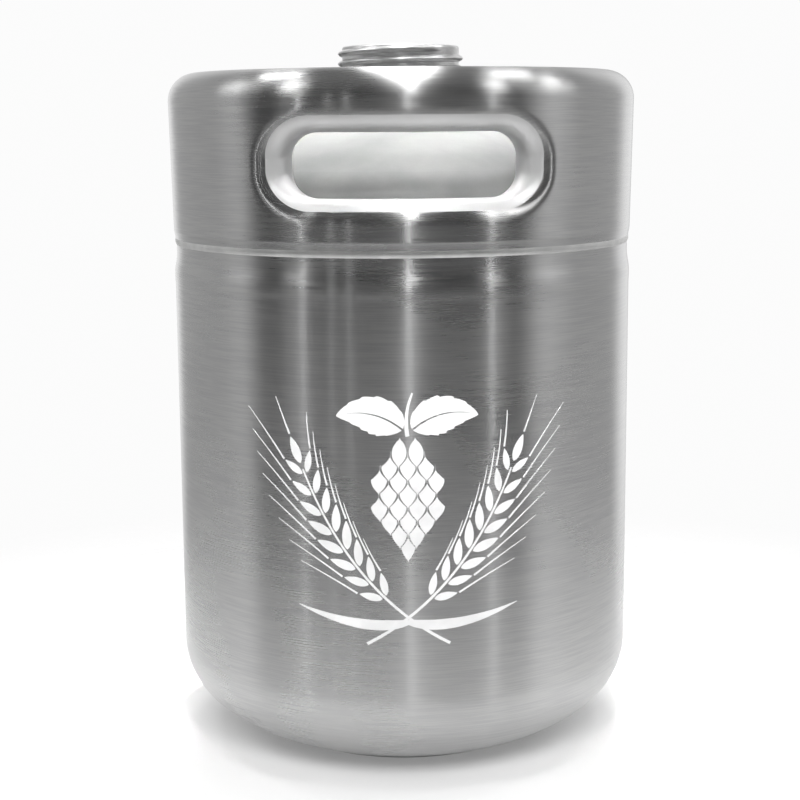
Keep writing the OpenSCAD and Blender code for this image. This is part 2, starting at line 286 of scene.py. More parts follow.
@dataclass
class Graph:
    """Short ways to add nodes to one node tree."""

    tree: bpy.types.NodeTree

    def node(self, kind: str, **settings: object) -> bpy.types.Node:
        """Adds a node.

        Args:
            kind: Kind of the node.
            settings: Properties of the node, by name.

        Returns:
            The new node.
        """
        made = self.tree.nodes.new(kind)
        for name, value in settings.items():
            setattr(made, name, value)
        return made

    def feed(self, target: Socket, value: object) -> None:
        """Sets an input to a number or joins it to an output.

        Args:
            target: The input.
            value: The number or the output.
        """
        if isinstance(value, Socket):
            self.tree.links.new(value, target)
        else:
            target.default_value = value

    def run(self, kind: str, *values: object, **settings: object) -> Socket:
        """Adds a node and feeds its inputs.

        Args:
            kind: Kind of the node.
            values: Numbers or outputs for its inputs in order, with None for those left alone.
            settings: Properties of the node.

        Returns:
            Its first output.
        """
        made = self.node(kind, **settings)
        for socket, value in zip(made.inputs, values):
            if value is not None:
                self.feed(socket, value)
        return made.outputs[0]

    def math(self, operation: str, *values: object) -> Socket:
        """Adds a Math node and returns its result."""
        return self.run("ShaderNodeMath", *values, operation=operation)

    def vector_math(self, operation: str, *values: object) -> Socket:
        """Adds a Vector Math node and returns its vector."""
        return self.run("ShaderNodeVectorMath", *values, operation=operation)

    def remap(
        self, value: object, low: float, high: float, to_low: float = 0.0, to_high: float = 1.0
    ) -> Socket:
        """Maps the range low to high softly onto to_low to to_high, and holds it there."""
        return self.run("ShaderNodeMapRange", value, low, high, to_low, to_high,
                        interpolation_type="SMOOTHSTEP")

    def toward(self, share: object, value: object, goal: float) -> Socket:
        """Moves a value towards a goal by a share from 0 to 1."""
        return self.math("MULTIPLY_ADD", self.math("SUBTRACT", goal, value), share, value)

    def noise(self, place: object, scale: float, detail: float) -> Socket:
        """Adds a Noise texture at a scale, with detail as its octaves."""
        return self.run("ShaderNodeTexNoise", place, None, scale, detail)

    def mix(self, share: object, first: object, second: object) -> Socket:
        """Adds a colour Mix node.

        Args:
            share: Share of the second colour.
            first: First colour or output.
            second: Second colour or output.

        Returns:
            The mixed colour's output.
        """
        made = self.node("ShaderNodeMix", data_type="RGBA")
        for index, value in ((0, share), (6, first), (7, second)):
            self.feed(made.inputs[index], value)
        return made.outputs[2]

    def place(self) -> Socket:
        """The place on the object, in metres."""
        return self.node("ShaderNodeTexCoord").outputs["Object"]

    def parts(self, vector: Socket) -> list[Socket]:
        """Takes a vector apart.

        Args:
            vector: The vector's output.

        Returns:
            The outputs of its x, y and z.
        """
        made = self.node("ShaderNodeSeparateXYZ")
        self.feed(made.inputs[0], vector)
        return list(made.outputs)


def new_group(name: str, inputs: dict[str, float], outputs: dict[str, str]) -> Graph:
    """Starts a shader node group.

    Args:
        name: Name of the group.
        inputs: Name and default of each number that goes in.
        outputs: Name of each value that comes out, with Float or Vector as its kind.

    Returns:
        The group's graph, with its Group Input and Group Output nodes made.
    """
    tree = bpy.data.node_groups.new(name, "ShaderNodeTree")
    for label, default in inputs.items():
        socket = tree.interface.new_socket(label, in_out="INPUT", socket_type="NodeSocketFloat")
        socket.default_value = default
    for label, kind in outputs.items():
        tree.interface.new_socket(label, in_out="OUTPUT", socket_type=f"NodeSocket{kind}")
    graph = Graph(tree)
    graph.node("NodeGroupInput", name="in")
    graph.node("NodeGroupOutput", name="out")
    return graph


class Effect(Enum):
    """Effects that several finishes share, by the name of their node group."""

    GRAIN = "brushed_grain"
    MOTTLE = "matte_mottle"
    HANDLING = "handling_marks"


def make_grain_group() -> None:
    """Grain that runs round the axis, as a brushing belt leaves it.

    Slope is 1 where the section falls as it comes in, and -1 where it rises, so that the lines stay
    rings round a curved edge too. Tilt turns each line a little sideways, which makes the sides of
    a reflection ragged.
    """
    graph = new_group(
        Effect.GRAIN.value, {"Fineness": 1.0, "Slope": 1.0, "Tilt": 0.02},
        {"Fine": "Float", "Coarse": "Float", "Height": "Float", "Normal": "Vector"},
    )
    source = graph.tree.nodes["in"].outputs
    x, y, z = graph.parts(graph.place())
    radius = graph.math("SQRT", graph.math("ADD", graph.math("MULTIPLY", x, x),
                                           graph.math("MULTIPLY", y, y)))
    safe = graph.math("MAXIMUM", radius, 1e-5)
    out_x, out_y = graph.math("DIVIDE", x, safe), graph.math("DIVIDE", y, safe)
    travel = graph.math("MULTIPLY_ADD", radius, source["Slope"], z)
    rise = graph.math("MULTIPLY", travel, source["Fineness"])

    def ringed(turns: float, lines: float) -> Socket:
        """Noise that is drawn out round the keg.

        Args:
            turns: Changes round the keg.
            lines: Changes a metre along it.

        Returns:
            The noise's output.
        """
        vector = graph.run("ShaderNodeCombineXYZ", graph.math("MULTIPLY", out_x, turns),
                           graph.math("MULTIPLY", out_y, turns),
                           graph.math("MULTIPLY", rise, lines))
        return graph.noise(vector, 1.0, 3.0)

    fine = ringed(turns=5.0, lines=2600.0)
    coarse = ringed(turns=3.0, lines=520.0)
    hair = ringed(turns=14.0, lines=5200.0)
    hair_height, hair_swing, fine_swing = 0.5, 0.8, 1.2
    height = graph.math("MULTIPLY_ADD", hair, hair_height, fine)
    swing = graph.math("MULTIPLY_ADD", hair, hair_swing, graph.math("MULTIPLY", fine, fine_swing))
    swing = graph.math("MULTIPLY", graph.math("SUBTRACT", swing, 1.0), source["Tilt"])
    back = graph.math("MULTIPLY", graph.math("MULTIPLY", out_x, swing), -1.0)
    sideways = graph.run("ShaderNodeCombineXYZ", graph.math("MULTIPLY", out_y, swing), back)
    facing = graph.node("ShaderNodeNewGeometry").outputs["Normal"]
    normal = graph.vector_math("NORMALIZE", graph.vector_math("ADD", facing, sideways))
    for socket, value in zip(graph.tree.nodes["out"].inputs, (fine, coarse, height, normal)):
        graph.feed(socket, value)


def make_noise_group(effect: Effect, layers: dict[str, Point2]) -> None:
    """Noise that stays on the metal, in one or more layers.

    Args:
        effect: The effect that it makes.
        layers: Features per metre and octaves of each layer, by the name that it comes out with.
    """
    graph = new_group(effect.value, {"Size": 1.0}, dict.fromkeys(layers, "Float"))
    size = graph.tree.nodes["in"].outputs["Size"]
    scaled = graph.vector_math("SCALE", graph.place(), None, None, size)
    for label, (scale, detail) in layers.items():
        graph.feed(graph.tree.nodes["out"].inputs[label], graph.noise(scaled, scale, detail))


def make_effects() -> None:
    """Makes the node groups of all shared effects."""
    make_grain_group()
    make_noise_group(Effect.MOTTLE, {"Blotch": (45.0, 3.0), "Pits": (1500.0, 2.0)})
    make_noise_group(Effect.HANDLING, {"Smudge": (14.0, 4.0)})


@dataclass
class Surface:
    """A material under construction: its graph and its Principled shader."""

    material: Material
    graph: Graph
    shader: bpy.types.Node

    @classmethod
    def start(cls, name: str) -> "Surface":
        """Makes a material with a bare Principled shader.

        Args:
            name: Name of the material.

        Returns:
            The surface to work on.
        """
        material = bpy.data.materials.new(name)
        material.use_nodes = True
        tree = material.node_tree
        return cls(material, Graph(tree), tree.nodes["Principled BSDF"])

    def set(self, **values: object) -> None:
        """Sets inputs of the shader, with _ for a space in their names."""
        for name, value in values.items():
            self.graph.feed(self.shader.inputs[name.replace("_", " ")], value)

    def effect(self, effect: Effect, **values: float) -> bpy.types.NodeOutputs:
        """Places a shared effect.

        Args:
            effect: Which effect.
            values: Its inputs, by name.

        Returns:
            The group's outputs.
        """
        made = self.graph.node("ShaderNodeGroup")
        made.node_tree = bpy.data.node_groups[effect.value]
        for name, value in values.items():
            made.inputs[name].default_value = value
        return made.outputs

    def tones(
        self, value: Socket, low: float, high: float, dark: Colour, light: Colour
    ) -> Socket:
        """Colours the surface from dark to light as a value goes from low to high.

        Args:
            value: The value's output.
            low: Where it is dark.
            high: Where it is light.
            dark: The darker colour.
            light: The lighter colour.

        Returns:
            The share of the lighter colour.
        """
        tone = self.graph.remap(value, low, high)
        self.set(Base_Color=self.graph.mix(tone, (*dark, 1.0), (*light, 1.0)))
        return tone

    def bump(
        self,
        height: Socket,
        depth: float,
        strength: float,
        normal: Socket | None = None,
    ) -> None:
        """Feeds the shader's normal from a height.

        Args:
            height: The height's output, from 0 to 1.
            depth: Height of a full step, in metres.
            strength: How much of it shows.
            normal: Normal that the height is added to, if it isn't the mesh's own.
        """
        made = self.graph.node("ShaderNodeBump")
        inputs = {"Distance": depth, "Strength": strength, "Height": height}
        if normal:
            inputs["Normal"] = normal
        for name, value in inputs.items():
            self.graph.feed(made.inputs[name], value)
        self.set(Normal=made.outputs[0])


# Finishes


@dataclass(frozen=True)
class BrushedSteel:
    """Stainless steel brushed round the axis."""

    name: str
    dark: Colour = (0.56, 0.56, 0.565)
    light: Colour = (0.64, 0.64, 0.635)
    roughness: float = 0.28
    roughness_spread: float = 0.05
    fine_share: float = 0.7
    tone_ends: Point2 = (0.36, 0.64)
    smudge_ends: Point2 = (0.35, 0.65)
    stretch: float = 1.0
    slope: float = 1.0
    fineness: float = 1.0
    tilt: float = 0.03
    bump_depth: float = 0.00001
    bump_strength: float = 0.15

    def make(self) -> Material:
        """Builds the material, with highlights stretched across the grain."""
        surface = Surface.start(self.name)
        graph, spread = surface.graph, self.roughness_spread
        grain = surface.effect(Effect.GRAIN, Fineness=self.fineness, Slope=self.slope,
                               Tilt=self.tilt)
        hands = surface.effect(Effect.HANDLING, Size=1.0)
        lines = graph.math("MULTIPLY_ADD", grain["Fine"], self.fine_share,
                           graph.math("MULTIPLY", grain["Coarse"], 1.0 - self.fine_share))
        tone = surface.tones(lines, *self.tone_ends, self.dark, self.light)
        sheen = graph.remap(hands["Smudge"], *self.smudge_ends, -0.5, 0.5)
        rough = graph.math("MULTIPLY_ADD", tone, spread / 2, self.roughness - spread / 4)
        rough = graph.math("MULTIPLY_ADD", sheen, spread, rough)
        tangent = graph.run("ShaderNodeTangent", direction_type="RADIAL", axis="Z")
        surface.set(Metallic=1.0, Roughness=rough, Tangent=tangent, Anisotropic=self.stretch,
                    Anisotropic_Rotation=QUARTER_TURN)
        surface.bump(grain["Height"], self.bump_depth, self.bump_strength, grain["Normal"])
        return surface.material


@dataclass(frozen=True)
class MottledFinish:
    """A finish without a grain: matte steel, foil, solder or printed paint."""

    name: str
    dark: Colour = (0.62, 0.62, 0.62)
    light: Colour = (0.76, 0.76, 0.755)
    roughness: float = 0.42
    size: float = 1.0
    bump_depth: float = 0.00003
    bump_strength: float = 0.25
    metallic: float = 1.0
    roughness_spread: float = 0.12
    blotch_ends: Point2 = (0.3, 0.7)

    def make(self) -> Material:
        """Builds the material."""
        surface = Surface.start(self.name)
        mottle = surface.effect(Effect.MOTTLE, Size=self.size)
        surface.tones(mottle["Blotch"], *self.blotch_ends, self.dark, self.light)
        rough = surface.graph.math("MULTIPLY_ADD", mottle["Pits"], self.roughness_spread,
                                   self.roughness - self.roughness_spread / 2)
        surface.set(Metallic=self.metallic, Roughness=rough)
        surface.bump(mottle["Pits"], self.bump_depth, self.bump_strength)
        return surface.material


@dataclass(frozen=True)
class PolishedSteel:
    """Polished steel with faint turning marks."""

    name: str
    dark: Colour = (0.6708, 0.6708, 0.6708)
    light: Colour = (0.78, 0.78, 0.78)
    roughness: float = 0.10
    roughness_spread: float = 0.08
    tone_ends: Point2 = (0.35, 0.65)
    fineness: float = 0.6
    smudge_size: float = 3.0
    bump_depth: float = 0.00001
    bump_strength: float = 0.12

    def make(self) -> Material:
        """Builds the material."""
        surface = Surface.start(self.name)
        grain = surface.effect(Effect.GRAIN, Fineness=self.fineness, Slope=1.0)
        hands = surface.effect(Effect.HANDLING, Size=self.smudge_size)
        surface.tones(grain["Coarse"], *self.tone_ends, self.dark, self.light)
        rough = surface.graph.math("MULTIPLY_ADD", hands["Smudge"], self.roughness_spread,
                                   self.roughness - self.roughness_spread / 2)
        surface.set(Metallic=1.0, Roughness=rough)
        surface.bump(grain["Fine"], self.bump_depth, self.bump_strength)
        return surface.material


# Shell and welds


def s_bend(offset: float, run: float) -> Point2:
    """Turn in degrees and radius of two equal bends that step a wall sideways over a run."""
    turn = 2 * math.degrees(math.atan(offset / run))
    return turn, run / (2 * math.sin(math.radians(turn)))


@dataclass(frozen=True)
class Shell:
    """The drawn shell, with its swaged band, rounded base, foot and recess."""

    radius: float = 82.5
    thickness: float = 0.8
    corner_r: float = 26.0
    sweep_r: float = 58.0
    corner_turn: float = 48.5
    swage_depth: float = 0.75
    swage_rise: float = 8.5
    swage_land: float = 2.5
    ridge_proud: float = 0.14
    ridge_fall: float = 4.0
    foot_r: float = 47.0
    foot_w: float = 2.4
    foot_corner_r: float = 1.5
    foot_blend: float = 3.0
    foot_slope: float = 56.0
    recess_h: float = 5.5
    recess_fillet: float = 1.0
    dimple_r: float = 9.0
    dimple_h: float = 2.0
    dimple_fillet: float = 0.3
    dimple_turn: float = 45.0
    port_r: float = 2.0
    body_rows: int = 24
    columns: int = 288
    disc_columns: int = 192
    disc_ring: float = 0.72
    disc_ring_half: float = 1.6
    disc_ring_h: float = 0.22
    disc_edge_r: float = 0.35
    disc_edge_cut: float = 0.1

    @property
    def land_r(self) -> float:
        """Radius above the swage."""
        return self.radius - self.swage_depth

    def wall(self) -> list[Bend]:
        """The bends from the shell's edge over the swage and the ridge down to the corner."""
        swage_turn, swage_r = s_bend(self.swage_depth + self.ridge_proud, self.swage_rise)
        ridge_turn, ridge_r = s_bend(self.ridge_proud, self.ridge_fall)
        swage_z = SHELL_TOP - self.swage_land
        ridge_z = swage_z - self.swage_rise
        ridge_x = self.radius + self.ridge_proud
        wall_z = ridge_z - self.ridge_fall
        turn = math.radians(self.corner_turn)
        corner_z = self.sweep_r - (self.sweep_r - self.corner_r) * math.sin(turn)
        return [
            Bend(self.land_r, SHELL_TOP),
            Bend(self.land_r + swage_r, swage_z, -swage_r, 0.0, swage_turn),
            Bend(ridge_x - swage_r, ridge_z, swage_r, swage_turn, 0.0),
            Bend(ridge_x - ridge_r, ridge_z, ridge_r, 0.0, -ridge_turn),
            Bend(self.radius + ridge_r, wall_z, -ridge_r, -ridge_turn, 0.0),
            *(Bend(self.radius, wall_z + (corner_z - wall_z) * share)
              for share in shares(self.body_rows)[1:-1]),
            Bend(self.radius - self.corner_r, corner_z, self.corner_r, 0.0, -self.corner_turn),
        ]

    def base(self) -> list[Bend]:
        """The bends from the corner under the foot and into the recess, to the vacuum port."""
        turn, extra = math.radians(self.corner_turn), self.sweep_r - self.corner_r
        sweep_x = self.radius - self.corner_r - extra * math.cos(turn)
        reach = (self.foot_r + self.foot_blend - sweep_x) / self.sweep_r
        foot_in = self.foot_r - self.foot_w
        foot_c, recess_f, dimple_f = self.foot_corner_r, self.recess_fillet, self.dimple_fillet
        dimple_bend = self.thickness + dimple_f
        both, slant = dimple_bend + dimple_f, math.radians(self.dimple_turn)
        dimple_wall = self.dimple_h - both * (1 - math.cos(slant))
        dimple_x = self.dimple_r - both * math.sin(slant) - dimple_wall
        top, slope = self.recess_h + self.dimple_h, -90.0 - self.dimple_turn
        return [
            Bend(sweep_x, self.sweep_r, self.sweep_r, -self.corner_turn,
                 -math.degrees(math.acos(reach))),
            Bend(self.foot_r, foot_c, foot_c, -self.foot_slope, -90.0),
            Bend(foot_in, foot_c, foot_c, -90.0, -180.0),
            Bend(foot_in - foot_c - recess_f, self.recess_h - recess_f, -recess_f, -180.0, -90.0),
            Bend(self.dimple_r, self.recess_h + dimple_bend, dimple_bend, -90.0, slope),
            Bend(dimple_x, top - dimple_f, -dimple_f, slope, -90.0),
            Bend(self.port_r, top, 0.0, -90.0, -90.0),
        ]

    def build(self) -> None:
        """Makes and dresses the shell and the cover disc in its base."""
        sheet = Sheet((*self.wall(), *self.base()), self.thickness)
        dress(lathe("shell", sheet.loop(), self.columns),
              BrushedSteel("shell_brushed_steel").make(), "shell_steel", "outer_shell")
        low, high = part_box("base_disc")
        edge, under, upper = high.x / MM, low.z / MM, high.z / MM
        ring, half, lift = edge * self.disc_ring, self.disc_ring_half, under + self.disc_ring_h
        roll, cut = self.disc_edge_r, self.disc_edge_cut
        disc = [(0.0, under), (ring - half, under), (ring - half / 2, lift),
                (ring + half / 2, lift), (ring + half, under), (edge - roll, under),
                (edge - cut, under + cut), (edge, under + roll), (edge, upper), (0.0, upper)]
        satin = BrushedSteel("disc_satin_steel", roughness=0.38, stretch=0.4, fineness=0.7)
        dress(lathe("base_cover_disc", disc, self.disc_columns), satin.make(), "disc_steel",
              "base_disc")


@dataclass(frozen=True)
class WeldBead:
    """A crowned weld bead round the axis, with the ripple of the torch."""

    name: str
    inner_r: float
    low_r: float
    high_r: float
    bottom: float
    height: float
    crown: float
    ripples: int
    ripple_depth: float
    steps: int = 12
    columns: int = 480
    swing: float = 1.2
    swing_laps: int = 5
    lean: float = 2.0
    slow_waves: tuple[Point2, ...] = ((7.0, 0.4), (13.0, 2.1))
    lap_share: float = 0.6
    slow_share: float = 0.8

    def rippled(self, radius: float, angle: float, height: float) -> Point2:
        """Ripple of the bead at one point of the plain one.

        Args:
            radius: The point's radius.
            angle: Radians from the front.
            height: The point's height.

        Returns:
            Changed radius and height.
        """
        if radius <= self.inner_r + TINY:
            return radius, height
        share = (height - self.bottom) / self.height
        face = math.sin(math.pi * min(max(share, 0.0), 1.0))
        swing = self.swing * math.sin(self.swing_laps * angle)
        lap = math.sin(self.ripples * angle + swing + self.lean * share)
        slow = sum(math.sin(laps * angle + phase) / 2 for laps, phase in self.slow_waves)
        wave = self.lap_share * lap + self.slow_share * slow
        return radius + face * self.ripple_depth * wave, height

    def build(self, material: Material, node: str) -> None:
        """Makes and dresses the bead.

        Args:
            material: Its finish.
            node: The solid piece that it stands for.
        """
        loop = [(self.inner_r, self.bottom)]
        for share in shares(self.steps):
            out = self.low_r + (self.high_r - self.low_r) * share
            loop.append((out + self.crown * math.sin(math.pi * share),
                         self.bottom + self.height * share))
        loop.append((self.inner_r, self.bottom + self.height))
        dress(lathe(self.name, loop, self.columns, wobble=self.rippled), material, "weld_steel",
              node)


# Handle collar


@dataclass(frozen=True)
class SlotPoint:
    """A point on a slot's clear outline, seen from the front, and the border point it faces."""

    x: float
    up: float
    normal_x: float
    normal_up: float
    border_x: float
    border_up: float


@dataclass(frozen=True)
class HandleCollar:
    """The collar: conical wall, rounded and curled rim, and two hand slots with drawn lips."""

    bottom_r: float = 82.6
    top_r: float = 83.5
    thickness: float = 0.8
    tuck: float = 0.5
    tuck_h: float = 3.0
    tuck_r: float = 2.5
    tuck_angle: float = -20.0
    tuck_steps: int = 6
    rim_r: float = 10.0
    rim_flat: float = 2.5
    curl_r: float = 3.0
    curl_end: float = 200.0
    rim_steps: int = 20
    slot_w: float = 73.6
    slot_h: float = 21.2
    slot_corner_r: float = 8.6
    slot_up: float = 26.9
    lip_r: float = 8.3
    lip_edge: float = 1.0
    brushed_turn: float = 26.0
    brushed_turn_side: float = 11.0
    brushed_turn_low: float = 6.0
    brushed_steps: int = 6
    satin_steps: int = 14
    wall_shares: tuple[float, ...] = (0.66, 0.33)
    border: float = 10.2
    corner_steps: int = 18
    long_steps: int = 44
    short_steps: int = 4
    gap_columns: int = 56
    below_steps: int = 3

    @property
    def cone_low(self) -> float:
        """Height where the conical wall starts."""
        return SEAM_TOP + self.tuck_h

    @property
    def slot_z(self) -> float:
        """Height of the slots' centre."""
        return SEAM_TOP + self.slot_up

    def wall_r(self, height: float) -> float:
        """Outer radius of the conical wall at a height."""
        share = (height - self.cone_low) / (RIM - self.rim_r - self.cone_low)
        return self.bottom_r + (self.top_r - self.bottom_r) * share

    def column_turn(self, x: float) -> float:
        """Angle of the wall's column that the front view shows at x."""
        return math.asin(x / (self.wall_r(self.slot_z) - self.lip_r))

    def outline(self) -> list[SlotPoint]:
        """Points round the clear opening, with the border points that they face."""
        round_r = self.slot_corner_r
        a, b = self.slot_w / 2 - round_r, self.slot_h / 2 - round_r
        corners = ((a, b), (-a, b), (-a, -b), (a, -b))
        runs = (self.long_steps, self.short_steps) * 2
        out: list[SlotPoint] = []

        def put(x: float, z: float, degrees: float) -> None:
            """Adds the outline's point that faces some degrees from a corner's centre.

            Args:
                x: The centre, to the right of the slot's.
                z: The centre, above the slot's.
                degrees: Direction, from +X towards up.
            """
            c, s = math.cos(math.radians(degrees)), math.sin(math.radians(degrees))
            reach = (round_r + self.border) / max(abs(c), abs(s))
            out.append(SlotPoint(x + round_r * c, z + round_r * s, c, s,
                                 round(x + reach * c, 6), round(z + reach * s, 6)))

        for k, (x, z) in enumerate(corners):
            next_x, next_z = corners[(k + 1) % 4]
            for i in range(self.corner_steps + 1):
                put(x, z, 90.0 * k + 90.0 * i / self.corner_steps)
            for share in shares(runs[k])[1:-1]:
                put(x + (next_x - x) * share, z + (next_z - z) * share, 90.0 * k + 90.0)
        return out

    def rows(self, ups: Sequence[float]) -> tuple[list[tuple[Point2, Point2]], int]:
        """Rows of the collar, from its tucked lower edge to the rim's curl.

        Args:
            ups: Heights over the slots' centre of the rows that meet their borders.

        Returns:
            Outer and inner point of each row, and the index of the first row that meets a border.
        """
        rim_x = self.top_r - self.rim_r
        tuck = (Bend(self.bottom_r - self.tuck, SEAM_TOP, 0.0, self.tuck_angle, self.tuck_angle),
                Bend(self.bottom_r - self.tuck_r, self.cone_low, self.tuck_r, self.tuck_angle,
                     0.0))
        rim = (Bend(rim_x, RIM - self.rim_r, self.rim_r, 0.0, 90.0),
               Bend(rim_x - self.rim_flat, RIM - self.curl_r, self.curl_r, 90.0, self.curl_end))
        low, high = (
            list(zip(sheet.face(0.0), sheet.face(self.thickness)))
            for sheet in (Sheet(tuck, self.thickness, self.tuck_steps),
                          Sheet(rim, self.thickness, self.rim_steps))
        )
        gap = self.slot_z + ups[0] - self.cone_low
        below = [self.cone_low + gap * share for share in shares(self.below_steps)[1:-1]]
        wall = [((self.wall_r(z), z), (self.wall_r(z) - self.thickness, z))
                for z in (*below, *(self.slot_z + up for up in ups))]
        return [*low, *wall, *high], len(low) + len(below)

    def columns(self, across: Sequence[float]) -> list[tuple[float, int, float]]:
        """Columns of the collar: over the front slot, round the side, then the same behind.

        Args:
            across: The x of the columns that meet the slots' borders, seen from the front.

        Returns:
            Angle, side and x of each, where side is 1 at the front slot, -1 at the rear one and
            0 between them.
        """
        edge = self.column_turn(across[-1])
        step = (math.pi - 2 * edge) / self.gap_columns
        out: list[tuple[float, int, float]] = []
        for side, turn in ((1, 0.0), (-1, math.pi)):
            out += [(turn + self.column_turn(x), side, x) for x in across]
            out += [(turn + edge + step * i, 0, 0.0) for i in range(1, self.gap_columns)]
        return out

    def section(self, p: SlotPoint, inset: float) -> list[Point3]:
        """Points from the border over the wall and round the lip to its edge.

        The bend touches the wall on one side and the straight edge on the other, as a ball would
        that is rolled round behind the opening.

        Args:
            p: The outline's point.
            inset: 0 for the outer face, the thickness for the inner face.

        Returns:
            The points, of which the brushed ones come first.
        """
        height = self.slot_z + p.up + p.normal_up * self.lip_r
        axis_r = self.wall_r(height) - self.lip_r
        turn = math.asin((p.x + p.normal_x * self.lip_r) / axis_r)
        out: list[Point3] = []
        for share in self.wall_shares:
            z = height + (self.slot_z + p.border_up - height) * share
            out.append(around(self.wall_r(z) - inset,
                              turn + (self.column_turn(p.border_x) - turn) * share, z))
        centre = Vector(around(axis_r, turn, height))
        wall = Vector(around(1.0, turn, 0.0))
        edge = Vector((-p.normal_x, 0.0, -p.normal_up))
        full = wall.angle(edge)
        brushed = math.radians(self.brushed_turn + self.brushed_turn_side * p.normal_x ** 2
                               - self.brushed_turn_low * p.normal_up)
        turns = [brushed * share for share in shares(self.brushed_steps)[:-1]]
        turns += [brushed + (full - brushed) * share for share in shares(self.satin_steps)]
        for bend in turns:
            out.append(tuple(centre + (wall * math.sin(full - bend) + edge * math.sin(bend))
                             * (self.lip_r - inset) / math.sin(full)))
        x, y, z = out[-1]
        return [*out, (x, y + self.lip_edge, z)]

    def build_slot(self, maker: MeshMaker, side: int, borders: Sequence[list[int]]) -> None:
        """Fills one slot's patch, from its border in to the lip's edge.

        Args:
            maker: Collects the mesh.
            side: 1 for the front slot, -1 for the rear one.
            borders: Border points on the outer and the inner face, in the outline's order.
        """
        last_brushed = self.brushed_steps + len(self.wall_shares)
        edges = []
        for row, inset in zip(borders, (0.0, self.thickness)):
            sections = [self.section(p, inset) for p in self.outline()]
            for i, ring in enumerate(zip(*sections)):
                maker.finish = 1 if i > last_brushed else 0
                inner = [maker.add((side * x, side * y, z)) for x, y, z in ring]
                maker.strip(row, inner, closed=True)
                row = inner
            edges.append(row)
        maker.strip(*edges, closed=True)
        maker.finish = 0

    def build(self) -> None:
        """Makes and dresses the collar: a grid of columns and rows with a patch for each slot."""
        outline = self.outline()
        half_x = max(p.border_x for p in outline)
        half_up = max(p.border_up for p in outline)
        ups = sorted({p.border_up for p in outline if abs(p.border_x) == half_x})
        rows, first = self.rows(ups)
        last = first + len(ups) - 1
        columns = self.columns(sorted({p.border_x for p in outline
                                       if abs(p.border_up) == half_up}))
        maker = MeshMaker()
        spots: dict[tuple[int, int, float, float], int] = {}
        grids = []
        for face in (0, 1):
            grid = []
            for angle, side, x in columns:
                column = []
                for j, pair in enumerate(rows):
                    if side and first < j < last and abs(x) < half_x:
                        column.append(-1)
                        continue
                    radius, height = pair[face]
                    column.append(maker.add(around(radius, angle, height)))
                    if side and first <= j <= last:
                        spots[face, side, x, ups[j - first]] = column[-1]
                grid.append(column)
            grids.append(grid)
        for grid in grids:
            for i, (left, right) in enumerate(zip(grid, grid[1:] + grid[:1])):
                in_slot = columns[i][1] and columns[i][1] == columns[(i + 1) % len(columns)][1]
                for j in range(len(rows) - 1):
                    if not (in_slot and first <= j < last):
                        maker.face(left[j], right[j], right[j + 1], left[j + 1])
        for j in (0, -1):
            maker.strip(*([column[j] for column in grid] for grid in grids), closed=True)
        for side in (1, -1):
            self.build_slot(maker, side, [
                [spots[face, side, p.border_x, p.border_up] for p in outline] for face in (0, 1)
            ])
        brushed = BrushedSteel("collar_brushed_steel", slope=-1.0).make()
        satin = MottledFinish("lip_satin_steel", (0.68, 0.68, 0.68), (0.76, 0.76, 0.76),
                              metallic=0.7).make()
        dress(maker.build("collar_with_hand_slots", Smooth.ROUND), (brushed, satin),
              "collar_steel", "handle_collar")


# Dome, liner and neck


@dataclass(frozen=True)
class Dome:
    """The outer dome: skirt, channel, knuckle, round crown and spigot round the neck."""

    skirt_r: float = 80.95
    thickness: float = 0.8
    skirt_h: float = 10.0
    channel_up: float = 7.0
    channel_r: float = 5.0
    channel_w: float = 9.0
    fillet: float = 3.0
    knuckle_up: float = 11.0
    knuckle_r: float = 16.0
    knuckle_turn: float = 58.0
    neck_r: float = 21.0
    columns: int = 256

    @property
    def channel_z(self) -> float:
        """Height of the channel floor."""
        return SEAM_TOP + self.channel_up

    def section(
        self, inset: float, edge: Point2, channel_r: float, tube_r: float, top: float
    ) -> tuple[Bend, ...]:
        """Bends of the dome, or of a sheet inside it, from the edge up to the top of its tube.

        Args:
            inset: Distance that the channel, the knuckle and the crown are moved in.
            edge: Radius and height of the lower edge.
            channel_r: Radius of the bend into the channel.
            tube_r: Outer radius of the tube.
            top: Height of the tube's top.

        Returns:
            The bends in order.
        """
        skirt_r, channel_z = edge[0], self.channel_z - inset
        crown_r = self.skirt_r - self.channel_w
        x, z = crown_r - self.knuckle_r, SEAM_TOP + self.knuckle_up
        turn = math.radians(self.knuckle_turn)
        round_r = self.knuckle_r + x / math.cos(turn)
        round_z = z - (round_r - self.knuckle_r) * math.sin(turn)
        reach = round_r - inset + self.fillet
        side = tube_r + self.fillet
        last = math.degrees(math.acos(side / reach))
        return (
            Bend(*edge),
            Bend(skirt_r - channel_r, channel_z - channel_r, channel_r, 0.0, 90.0),
            Bend(crown_r - inset + self.fillet, channel_z + self.fillet, -self.fillet, 90.0, 0.0),
            Bend(x, z, self.knuckle_r - inset, 0.0, self.knuckle_turn),
            Bend(0.0, round_z, round_r - inset, self.knuckle_turn, last),
            Bend(side, round_z + math.sqrt(reach * reach - side * side), -self.fillet, last, 0.0),
            Bend(tube_r, top),
        )

    def build(self) -> None:
        """Makes and dresses the dome."""
        sheet = Sheet(self.section(0.0, (self.skirt_r, SHELL_TOP - self.skirt_h), self.channel_r,
                                   self.neck_r + self.thickness, SPIGOT_TOP), self.thickness)
        finish = MottledFinish("dome_matte_steel", (0.25, 0.25, 0.25), (0.31, 0.31, 0.305), 0.6,
                               metallic=0.75)
        dress(lathe("dome", sheet.loop(), self.columns), finish.make(), "dome_steel",
              "outer_dome")


